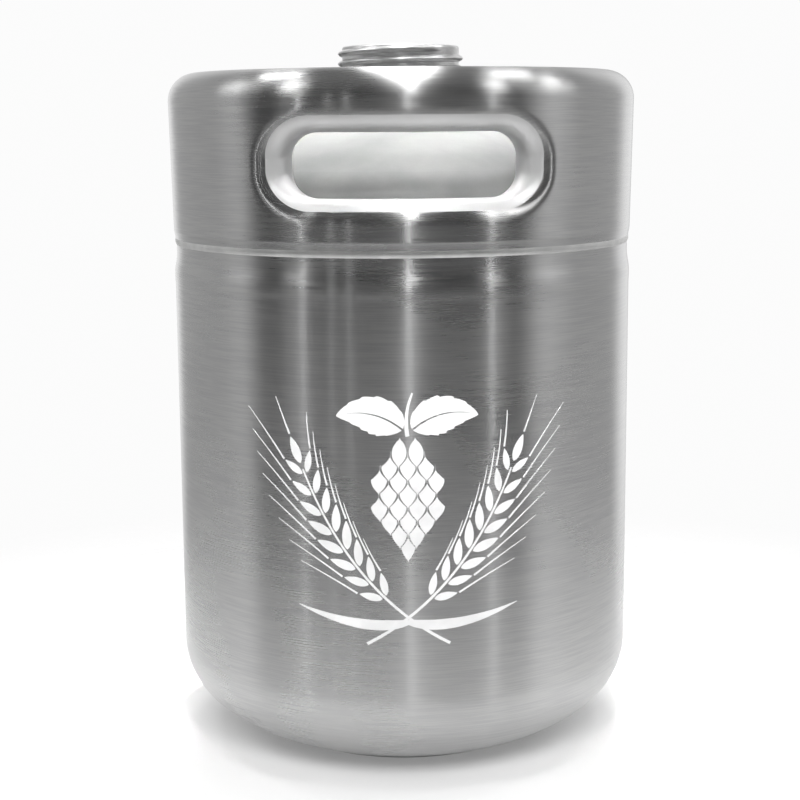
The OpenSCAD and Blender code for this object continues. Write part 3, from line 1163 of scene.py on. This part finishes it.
@dataclass(frozen=True)
class Liner:
    """The inner vessel: its upper half ends in the tube that forms the mouth."""

    dome: Dome
    mouth_r: float = 18.5
    thickness: float = 0.6
    radius: float = 77.0
    gap: float = 4.2
    bead_h: float = 1.2
    channel_r: float = 4.0
    neck_t: float = 1.2
    columns: int = 192

    def build(self) -> None:
        """Makes and dresses the upper half, and dresses the hidden pieces that stay as they are."""
        sheet = Sheet(self.dome.section(
            self.dome.thickness + self.gap, (self.radius, LINER_EDGE + self.bead_h),
            self.channel_r, self.mouth_r + self.thickness, MOUTH - self.neck_t), self.thickness)
        polished = PolishedSteel("liner_polished_steel", roughness=0.22)
        finishes = {
            "liner_can": polished,
            "liner_foil": MottledFinish("copper_foil", (0.55, 0.27, 0.15), (0.80, 0.45, 0.28),
                                        0.25, 2.0),
            "solder_plug": MottledFinish("solder_grey", (0.28, 0.28, 0.29), (0.42, 0.42, 0.43),
                                         0.55, 2.0),
            "getter_pill": MottledFinish("sintered_alloy", (0.10, 0.10, 0.11), (0.20, 0.20, 0.21),
                                         0.7, 2.0),
            "getter_clip": MottledFinish("clip_steel"),
            "liner_weld": MottledFinish("liner_weld_steel", roughness=0.5),
        }
        kept = {node: finish.make() for node, finish in finishes.items()}
        dress(lathe("liner_upper_half", sheet.loop(), self.columns), kept["liner_can"],
              "liner_steel", "liner_dome")
        for node, material in kept.items():
            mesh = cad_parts[node].data
            mesh.materials.clear()
            mesh.materials.append(material)
            log.info("%s: kept from the solid model", node)


@dataclass(frozen=True)
class Neck:
    """The threaded neck ring, with a rounded mouth and the weld that closes it."""

    radius: float = 21.0
    wall: float = 1.2
    edge_r: float = 0.9
    edge_steps: int = 6
    crest_r: float = 22.5
    crest_power: float = 0.85
    pitch: float = 3.5
    ridge_w: float = 2.3
    turns: float = 3.25
    drop: float = 1.2
    start_angle: float = 320.0
    fade_turns: float = 0.39
    columns: int = 288
    row_height: float = 0.16
    weld_r: float = 0.5
    weld_columns: int = 192

    def threaded(self, radius: float, angle: float, height: float) -> Point2:
        """Lifts the outer wall by the thread.

        Args:
            radius: Radius of the plain ring.
            angle: Radians from the front.
            height: Height above the ground.

        Returns:
            Changed radius and height.
        """
        start = MOUTH - self.drop - self.turns * self.pitch
        turn = (angle - math.radians(self.start_angle)) / (2 * math.pi) % 1.0
        lap = (height - start) / self.pitch - turn
        off = (lap - round(lap)) * self.pitch / self.ridge_w
        at = round(lap) + turn
        if radius < self.radius - TINY or abs(off) >= 0.5 or not 0.0 <= at <= self.turns:
            return radius, height
        fade = min(1.0, at / self.fade_turns, (self.turns - at) / self.fade_turns)
        lift = math.cos(math.pi * off) ** self.crest_power * math.sin(fade * math.pi / 2)
        return radius + (self.crest_r - self.radius) * lift, height

    def build(self) -> None:
        """Makes and dresses the neck ring."""
        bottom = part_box("neck_ring")[0].z / MM
        edge_z = MOUTH - self.edge_r
        rows = round((edge_z - bottom) / self.row_height)
        wall = [(self.radius, bottom + (edge_z - bottom) * share) for share in shares(rows)[:-1]]
        edge = Bend(self.radius - self.edge_r, edge_z, self.edge_r, 0.0, 90.0)
        inner = self.radius - self.wall
        loop = [*wall, *edge.points(0.0, self.edge_steps), (inner, MOUTH), (inner, bottom)]
        dress(lathe("threaded_neck", loop, self.columns, Smooth.ROUND, self.threaded),
              PolishedSteel("neck_polished_steel", roughness=0.34).make(), "neck_steel",
              "neck_ring")

    def build_mouth(self, inner_r: float, material: Material) -> None:
        """Makes the weld that closes the mouth, with a softly rounded inner edge.

        Args:
            inner_r: Radius of the mouth.
            material: Its finish.
        """
        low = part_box("mouth_weld")[0].z / MM
        outer = self.radius - self.wall
        edge = Bend(inner_r + self.weld_r, MOUTH - self.weld_r, self.weld_r, 180.0, 90.0)
        loop = [(outer, low), (inner_r, low), *edge.points(0.0, self.edge_steps), (outer, MOUTH)]
        dress(lathe("mouth_edge_weld", loop, self.weld_columns), material, "weld_steel",
              "mouth_weld")


# Printed sprig


def ahead_of(point: Point2, degrees: float, reach: float) -> Point2:
    """The point at a distance in a direction, in degrees from +x towards +y."""
    turn = math.radians(degrees)
    return (point[0] + reach * math.cos(turn), point[1] + reach * math.sin(turn))


def headings(path: Sequence[Point2]) -> list[float]:
    """Direction of a path at each of its points, in degrees from +x towards +y."""
    pairs = zip([path[0], *path[:-1]], [*path[1:], path[-1]])
    return [math.degrees(math.atan2(b[1] - a[1], b[0] - a[0])) for a, b in pairs]


@dataclass(frozen=True)
class Patch:
    """A flat printed shape between two edges, laid out on the unrolled wall."""

    left: tuple[Point2, ...]
    right: tuple[Point2, ...]

    @classmethod
    def ribbon(cls, spine: Sequence[Point2], halves: Sequence[float]) -> "Patch":
        """A shape of changing width along a spine.

        Args:
            spine: Points along its middle.
            halves: Half the width at each point.

        Returns:
            The shape.
        """
        rows = list(zip(spine, headings(spine), halves))
        return cls(*(tuple(ahead_of(point, run + turn, half) for point, run, half in rows)
                     for turn in (90.0, -90.0)))

    @classmethod
    def tapered(cls, spine: Sequence[Point2], first: float, last: float) -> "Patch":
        """A ribbon whose half width changes evenly from first to last."""
        steps = shares(len(spine) - 1)
        return cls.ribbon(spine, [first + (last - first) * share for share in steps])

    @classmethod
    def lens(
        cls, spine: Sequence[Point2], half: float, root: float, skew: float, fullness: float
    ) -> "Patch":
        """A ribbon with two pointed ends, as a grain or a leaf has.

        Args:
            spine: Points along its middle.
            half: Half its greatest width.
            root: Half its width at the root.
            skew: Below 1, its widest place comes before the middle.
            fullness: The lower, the blunter its ends.

        Returns:
            The shape.
        """
        halves = [half * math.sin(math.pi * share ** skew) ** fullness
                  for share in shares(len(spine) - 1)[1:-1]]
        return cls.ribbon(spine, [root, *halves, 0.1])

    def mirrored(self) -> "Patch":
        """The same shape on the other side of the middle line."""
        return Patch(*(tuple((-x, y) for x, y in edge) for edge in (self.left, self.right)))

    def rows(self, longest: float) -> list[list[Point2]]:
        """Fills the shape with points.

        Args:
            longest: Longest step from edge to edge.

        Returns:
            Rows of points from edge to edge.
        """
        widest = max(math.dist(a, b) for a, b in zip(self.left, self.right))
        steps = shares(max(1, math.ceil(widest / longest)))
        return [[(a[0] + (b[0] - a[0]) * share, a[1] + (b[1] - a[1]) * share) for share in steps]
                for a, b in zip(self.left, self.right)]


@dataclass(frozen=True)
class Stalk:
    """A curved stalk between two ends, pulled towards a third point."""

    start: Point2
    pull: Point2
    end: Point2
    near: float = 0.01

    def at(self, share: float) -> Point2:
        """Finds a point of the stalk.

        Args:
            share: Share of the way along.

        Returns:
            The point there.
        """
        a, b, c = (1 - share) ** 2, 2 * share * (1 - share), share * share
        return (a * self.start[0] + b * self.pull[0] + c * self.end[0],
                a * self.start[1] + b * self.pull[1] + c * self.end[1])

    def heading(self, share: float) -> float:
        """Direction there, in degrees from +x towards +y."""
        return headings([self.at(share - self.near), self.at(share + self.near)])[0]

    def points(self, steps: int) -> list[Point2]:
        """Points from end to end."""
        return [self.at(share) for share in shares(steps)]


@dataclass(frozen=True)
class PrintedSprig:
    """White print on the wall: a hop cone with two leaves over two crossed ears of barley."""

    wall_r: float = 82.5
    middle: float = 95.5
    proud: float = 0.05
    scale: float = 0.92
    longest_step: float = 1.5
    stalk: Stalk = Stalk((-15.0, -46.0), (20.0, -27.0), (38.5, 17.0))
    stalk_half: float = 0.55
    stalk_tip_half: float = 0.33
    stalk_steps: int = 40
    pairs: int = 8
    pair_shares: Point2 = (0.37, 0.985)
    pair_shrink: float = 0.22
    widest_pair: float = 0.9
    grain_length: float = 10.5
    grain_half: float = 1.75
    grain_tilt: float = 33.0
    grain_gap: float = 0.45
    grain_steps: int = 14
    awn_length: float = 24.0
    awn_tilt: float = 14.0
    awn_bend: float = 0.9
    awn_gap: float = 0.8
    awn_steps: int = 10
    inner_awn: float = 0.55
    awn_half: float = 0.36
    awn_tip_half: float = 0.108
    blade_share: float = 0.2
    blade_pull: Point2 = (14.0, -42.0)
    blade_tip: Point2 = (41.0, -33.0)
    blade_steps: int = 24
    tip_gap: float = 2.4
    tip_size: float = 0.95
    tip_awn: float = 0.6
    hop_top: float = 29.0
    hop_rows: tuple[int, ...] = (2, 3, 4, 3, 4, 3, 2, 1)
    hop_step: float = 4.9
    hop_pitch: float = 6.9
    hop_waist: float = 0.62
    hop_round: Point2 = (0.12, 0.80)
    bract_steps: int = 16
    bract_power: float = 1.9
    top_bract_power: float = 2.4
    leaf_path: Stalk = Stalk((1.8, 32.4), (12.0, 41.0), (25.5, 37.0))
    leaf_half: float = 6.2
    leaf_skew: float = 0.75
    leaf_fullness: float = 0.8
    leaf_tip: float = 0.05
    leaf_teeth: int = 6
    leaf_tooth: float = 0.8
    leaf_rib: float = 0.35
    leaf_steps: int = 36
    stem_path: Stalk = Stalk((0.0, 30.0), (-1.4, 38.0), (1.8, 45.5))
    stem_steps: int = 14
    gap: float = 0.5
    thinnest: float = 0.06

    def grain(self, root: Point2, degrees: float, length: float, half: float) -> Patch:
        """A grain of a length and half width that starts at a root, in a direction."""
        spine = [ahead_of(root, degrees, length * share) for share in shares(self.grain_steps)]
        return Patch.lens(spine, half, root=0.15, skew=0.8, fullness=0.75)

    def awn(self, tip: Point2, degrees: float, side: float, share: float) -> Patch:
        """The bristle of one grain, which bends a little outwards.

        Args:
            tip: Where the grain ends.
            degrees: The direction that it starts in.
            side: 1 or -1 for the side that it bends to, 0 for straight.
            share: Its share of the full length.

        Returns:
            The shape.
        """
        spine = [tip]
        for i in range(self.awn_steps):
            spine.append(ahead_of(spine[-1], degrees + side * self.awn_bend * i,
                                  self.awn_length * share / self.awn_steps))
        return Patch.tapered(spine, self.awn_half, self.awn_tip_half)

    def ear(self) -> list[Patch]:
        """The ear that leans right: stalk, grains in pairs, awns and a last grain."""
        spine = self.stalk.points(self.stalk_steps)
        out = [Patch.tapered(spine, self.stalk_half, self.stalk_tip_half)]
        low, high = self.pair_shares
        for part in shares(self.pairs - 1):
            share = low + (high - low) * part
            root, run = self.stalk.at(share), self.stalk.heading(share)
            size = 1.0 - self.pair_shrink * abs(2 * part - self.widest_pair)
            for side, awn in ((1.0, self.inner_awn), (-1.0, 1.0)):
                tilt = run + side * self.grain_tilt
                foot = ahead_of(root, run + side * 90.0, self.stalk_half + self.grain_gap)
                length = self.grain_length * size
                out.append(self.grain(foot, tilt, length, self.grain_half * size))
                tip = ahead_of(foot, tilt, length + self.awn_gap)
                out.append(self.awn(tip, run + side * self.awn_tilt, side, awn))
        run = self.stalk.heading(1.0)
        top = ahead_of(self.stalk.at(1.0), run, self.tip_gap)
        tip = ahead_of(top, run, self.grain_length + self.tip_awn)
        return [*out, self.grain(top, run, self.grain_length * self.tip_size, self.grain_half),
                self.awn(tip, run, 0.0, self.tip_awn)]

    def blade(self) -> Patch:
        """The long leaf of the stalk that leans right."""
        path = Stalk(self.stalk.at(self.blade_share), self.blade_pull, self.blade_tip)
        return Patch.lens(path.points(self.blade_steps), half=1.9, root=0.3, skew=0.7, fullness=0.8)

    def hop(self) -> list[Patch]:
        """The hop cone, as rows of bracts that overlap like tiles."""
        return [self.bract((k - (count - 1) / 2) * self.hop_pitch, row)
                for row, count in enumerate(self.hop_rows) for k in range(count)]

    def bract(self, along: float, row: int) -> Patch:
        """One bract, whose upper edges follow the two bracts above it.

        Args:
            along: Distance of its middle from the cone's middle, before the cone narrows.
            row: Its row, counted from the top.

        Returns:
            The shape.
        """
        left, right = [], []
        for share in (2 * half for half in shares(self.bract_steps)):
            if share > 1:
                part = 1 - (share - 1) ** self.bract_power
            elif row == 0:
                part = 1 - (1 - share) ** self.top_bract_power
            else:
                part = share ** self.bract_power
            half = max(part * self.hop_pitch / 2 - self.gap, self.thinnest)
            up = self.hop_top - self.hop_step * (row + share) - self.gap * (share - 1)
            narrow = self.hop_narrow(up)
            left.append(((along - half) * narrow, up))
            right.append(((along + half) * narrow, up))
        return Patch(tuple(left), tuple(right))

    def hop_narrow(self, up: float) -> float:
        """How much the cone narrows at a height.

        Args:
            up: Height over the print's middle.

        Returns:
            Share of the full width.
        """
        share = (self.hop_top - up) / (self.hop_step * (len(self.hop_rows) + 1))
        start, reach = self.hop_round
        belly = math.sin(math.pi * min(max(start + reach * share, 0.0), 1.0)) ** 0.8
        return self.hop_waist + (1.0 - self.hop_waist) * belly

    def hop_leaf(self) -> list[Patch]:
        """The right leaf over the hop cone: two toothed halves beside a bare midrib."""
        rib = self.leaf_path.points(self.leaf_steps)
        out = []
        for side in (90.0, -90.0):
            inner, outer = [], []
            for point, run, share in zip(rib, headings(rib), shares(self.leaf_steps)):
                body = math.sin(math.pi * share ** self.leaf_skew) ** self.leaf_fullness
                tooth = self.leaf_tooth * (share * self.leaf_teeth % 1.0)
                bare = self.leaf_rib * (1 - share)
                reach = bare + self.leaf_half * body + tooth * math.sin(math.pi * share)
                inner.append(ahead_of(point, run + side, bare))
                outer.append(ahead_of(point, run + side, reach + self.leaf_tip))
            out.append(Patch(tuple(inner), tuple(outer)))
        return out

    def stem(self) -> Patch:
        """The curled stem over the hop cone."""
        return Patch.tapered(self.stem_path.points(self.stem_steps), first=0.75, last=0.35)

    def shapes(self) -> list[Patch]:
        """All shapes of the print."""
        right = [*self.ear(), self.blade(), *self.hop_leaf()]
        return [*right, *(shape.mirrored() for shape in right), *self.hop(), self.stem()]

    def on_wall(self, point: Point2, lift: float) -> Point3:
        """A point of the unrolled print, measured from its middle, at a lift from the wall."""
        angle = point[0] * self.scale / self.wall_r
        return around(self.wall_r + lift, angle, self.middle + point[1] * self.scale)

    def build(self) -> None:
        """Makes and dresses the print."""
        maker = MeshMaker()
        for shape in self.shapes():
            skins = []
            for lift in (self.proud, -self.proud):
                rows = [[maker.add(self.on_wall(point, lift)) for point in row]
                        for row in shape.rows(self.longest_step)]
                for first, second in zip(rows, rows[1:]):
                    maker.strip(first, second)
                skins.append(rows)
            front, back = skins
            for end in (0, -1):
                maker.strip(front[end], back[end])
                maker.strip([row[end] for row in front], [row[end] for row in back])
        paint = MottledFinish("white_print", (0.84, 0.84, 0.84), (0.95, 0.95, 0.95),
                              roughness=0.455, size=2.0, bump_depth=0.00002, bump_strength=0.2,
                              metallic=0.0, roughness_spread=0.15, blotch_ends=(0.3, 0.6))
        dress(maker.build("printed_barley_and_hop", Smooth.CREASED), paint.make(), "print_white")


# Camera, lamps, floor and surround


@dataclass(frozen=True)
class Camera:
    """The camera, placed by its distance, height and angles."""

    distance: float = 621.4
    height: float = 225.4
    sideways: float = -1.1
    yaw: float = -0.85
    pitch: float = 9.51
    roll: float = -0.44
    focal_px: float = 1692.9
    image_px: float = 800.0
    sensor: float = 36.0
    clip: Point2 = (0.01, 50.0)

    def build(self) -> None:
        """Makes the scene's camera."""
        data = bpy.data.cameras.new("view")
        data.sensor_width = self.sensor
        data.lens = self.focal_px / self.image_px * self.sensor
        data.clip_start, data.clip_end = self.clip
        place = Matrix.Translation(Vector((self.sideways, -self.distance, self.height)) * MM)
        yaw, tilt, roll = (
            Matrix.Rotation(math.radians(degrees), 4, axis)
            for degrees, axis in ((self.yaw, "Z"), (90.0 - self.pitch, "X"), (self.roll, "Z"))
        )
        obj = add_object("view", data)
        obj.matrix_world = yaw @ place @ tilt @ roll
        bpy.context.scene.camera = obj


@dataclass(frozen=True)
class SoftBox:
    """A rectangular lamp that faces the keg, with its sizes in metres."""

    name: str
    azimuth: float
    elevation: float
    width: float
    height: float
    power: float
    gloss: bool = True
    spread: float = 180.0
    distance: float = 1.5

    def build(self, target: Vector) -> None:
        """Makes the lamp.

        Args:
            target: Point that it faces, in metres.
        """
        data = bpy.data.lights.new(self.name, "AREA")
        data.shape = "RECTANGLE"
        data.size, data.size_y = self.width, self.height
        data.energy = self.power
        data.spread = math.radians(self.spread)
        obj = add_object(self.name, data)
        rise = math.radians(self.elevation)
        away = Vector(around(math.cos(rise), math.radians(self.azimuth), math.sin(rise)))
        obj.location = target + away * self.distance
        obj.rotation_euler = away.to_track_quat("Z", "Y").to_euler()
        obj.visible_camera = False
        obj.visible_glossy = self.gloss


@dataclass(frozen=True)
class Studio:
    """Pale floor, soft lamps and a soft surround."""

    target: Point3 = (0.0, 0.0, 0.15)
    floor_r: float = 0.9
    floor_fade: Point2 = (0.15, 0.36)
    floor_cover: float = 0.8
    floor_dark: float = 0.88
    floor_light: float = 0.92
    floor_roughness: float = 0.8
    floor_blotch: float = 0.2
    floor_columns: int = 96
    ahead: float = 0.035
    aside: float = 0.46
    behind: float = 0.95
    overhead: float = 0.20
    below: float = 0.30
    backdrop: float = 0.97
    shift: float = 8.0
    side_turn: Point2 = (64.0, 80.0)
    rise_turn: Point2 = (135.0, 155.0)
    fall_turn: Point2 = (166.0, 180.0)
    overhead_z: Point2 = (0.45, 0.8)
    below_z: Point2 = (-0.5, -0.17)
    sky_level: float = 7.0
    sky_side: float = 0.03
    sky_half: Point2 = (0.06, 0.10)
    sky_flare: float = 0.20
    sky_start: Point2 = (-0.35, -0.15)
    sky_z: Point2 = (0.3, 0.5)
    sky_pole: float = 1.001
    lamps: tuple[SoftBox, ...] = (
        SoftBox("lamp_left", -62.0, 42.0, 0.22, 0.45, 1.6),
        SoftBox("lamp_left_high", -122.0, 59.0, 0.16, 0.30, 2.4),
        SoftBox("lamp_centre", 5.0, 46.0, 0.09, 0.55, 1.3),
        SoftBox("lamp_centre_high", 4.0, 76.0, 0.05, 0.06, 1.5),
        SoftBox("lamp_right", 51.0, 42.0, 0.18, 0.45, 1.5),
        SoftBox("lamp_right_high", 114.0, 62.0, 0.16, 0.30, 2.4),
        SoftBox("lamp_far_left", -96.0, 34.0, 0.40, 0.50, 1.0),
        SoftBox("lamp_far_right", 86.0, 34.0, 0.50, 0.50, 1.1),
        SoftBox("lamp_rim_right", 95.0, 45.0, 0.12, 0.24, 0.8),
        SoftBox("strip_far_left", -49.0, 7.0, 0.03, 0.50, 0.20),
        SoftBox("strip_left", -34.5, 7.0, 0.02, 0.50, 0.07),
        SoftBox("strip_mid", -25.8, 7.0, 0.02, 0.50, 0.08),
        SoftBox("strip_centre", 2.0, 7.0, 0.035, 0.50, 0.26),
        SoftBox("strip_right", 42.0, 7.0, 0.025, 0.50, 0.22),
        SoftBox("lamp_fill", 0.0, 38.0, 0.80, 0.50, 16.0, False),
        SoftBox("lamp_top", 180.0, 86.0, 0.03, 0.03, 0.42, False, 9.0),
        SoftBox("lamp_lip", 4.0, 60.0, 0.10, 0.05, 0.115, False, 9.0),
    )

    def build(self) -> None:
        """Makes the floor, the lamps and the surround."""
        self.build_floor()
        for lamp in self.lamps:
            lamp.build(Vector(self.target))
        self.build_surround()
        bpy.context.scene.view_settings.view_transform = "Standard"

    def build_floor(self) -> None:
        """Makes the floor that the keg stands on, which fades out towards its edge."""
        mesh = bpy.data.meshes.new("floor")
        work = bmesh.new()
        bmesh.ops.create_circle(work, cap_ends=True, segments=self.floor_columns,
                                radius=self.floor_r)
        work.to_mesh(mesh)
        work.free()
        surface = Surface.start("pale_floor")
        graph = surface.graph
        blotch = surface.effect(Effect.MOTTLE, Size=self.floor_blotch)["Blotch"]
        colour = graph.mix(blotch, *((level,) * 3 + (1.0,)
                                     for level in (self.floor_dark, self.floor_light)))
        reach = graph.node("ShaderNodeVectorMath", operation="LENGTH")
        graph.feed(reach.inputs[0], graph.place())
        alpha = graph.remap(reach.outputs["Value"], *self.floor_fade, self.floor_cover, 0.0)
        surface.set(Base_Color=colour, Roughness=self.floor_roughness, Alpha=alpha)
        mesh.materials.append(surface.material)
        add_object("floor", mesh)

    def build_surround(self) -> None:
        """Makes the soft surround: dark ahead of the keg, pale beside, behind and above it."""
        world = bpy.data.worlds.new("surround")
        bpy.context.scene.world = world
        world.use_nodes = True
        graph = Graph(world.node_tree)
        x, y, z = graph.parts(graph.node("ShaderNodeTexCoord").outputs["Generated"])
        turn = graph.math("ARCTAN2", x, graph.math("MULTIPLY", y, -1.0))
        side = graph.math("ABSOLUTE", graph.math("ADD", turn, math.radians(self.shift)))
        more = self.behind - self.aside
        level, rise, fall = (
            graph.remap(side, *map(math.radians, ends), start, end)
            for ends, start, end in ((self.side_turn, self.ahead, self.aside),
                                     (self.rise_turn, 0.0, more), (self.fall_turn, 0.0, -more))
        )
        level = graph.math("ADD", level, graph.math("ADD", rise, fall))
        level = graph.toward(graph.remap(z, *self.overhead_z), level, self.overhead)
        level = graph.toward(graph.remap(z, *self.below_z, 1.0, 0.0), level, self.below)
        level = graph.toward(self.build_sky(graph, x, y, z), level, self.sky_level)
        seen = graph.node("ShaderNodeLightPath").outputs["Is Camera Ray"]
        tint = graph.run("ShaderNodeCombineColor", level, level, level)
        graph.feed(world.node_tree.nodes["Background"].inputs["Color"],
                   graph.mix(seen, tint, (self.backdrop,) * 3 + (1.0,)))

    def build_sky(self, graph: Graph, *ray: Socket) -> Socket:
        """Makes the strip of light overhead, which whitens the slots' lower lips.

        Args:
            graph: The surround's graph.
            ray: The x, y and z of the direction.

        Returns:
            The strip's share of the light.
        """
        x, y, z = ray
        streak = graph.math("DIVIDE", x, graph.math("SUBTRACT", self.sky_pole, y))
        offset = graph.math("ABSOLUTE", graph.math("SUBTRACT", streak, self.sky_side))
        flare = graph.math("MULTIPLY", graph.math("MAXIMUM", y, 0.0), self.sky_flare)
        offset = graph.math("SUBTRACT", offset, flare)
        sky = graph.remap(offset, *self.sky_half, 1.0, 0.0)
        sky = graph.math("MULTIPLY", sky, graph.remap(y, *self.sky_start))
        return graph.math("MULTIPLY", sky, graph.remap(z, *self.sky_z))


# The whole keg


def main() -> None:
    logging.basicConfig(level=logging.INFO, format="%(name)s: %(message)s")
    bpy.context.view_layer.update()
    make_effects()
    Camera().build()
    shell, collar, dome, neck = Shell(), HandleCollar(), Dome(), Neck()
    liner = Liner(dome)
    for assembly in (shell, collar, dome, liner, neck):
        assembly.build()
    weld = MottledFinish("weld_matte_steel", (0.80, 0.80, 0.795), (0.92, 0.92, 0.91),
                         roughness=0.52, size=3.0, bump_depth=0.00006, bump_strength=0.5).make()
    neck.build_mouth(liner.mouth_r, weld)
    WeldBead("seam_bead", shell.land_r - shell.thickness, shell.land_r,
             collar.bottom_r - collar.tuck, SHELL_TOP, SEAM_TOP - SHELL_TOP, crown=0.25,
             ripples=260, ripple_depth=0.05).build(weld, "seam_weld")
    WeldBead("neck_fillet_bead", neck.radius, neck.radius + dome.thickness, neck.radius + 0.2,
             SPIGOT_TOP, height=1.0, crown=0.1, ripples=70, ripple_depth=0.04, steps=8,
             columns=288).build(weld, "neck_weld")
    PrintedSprig().build()
    Studio().build()


if __name__ == "__main__":
    main()
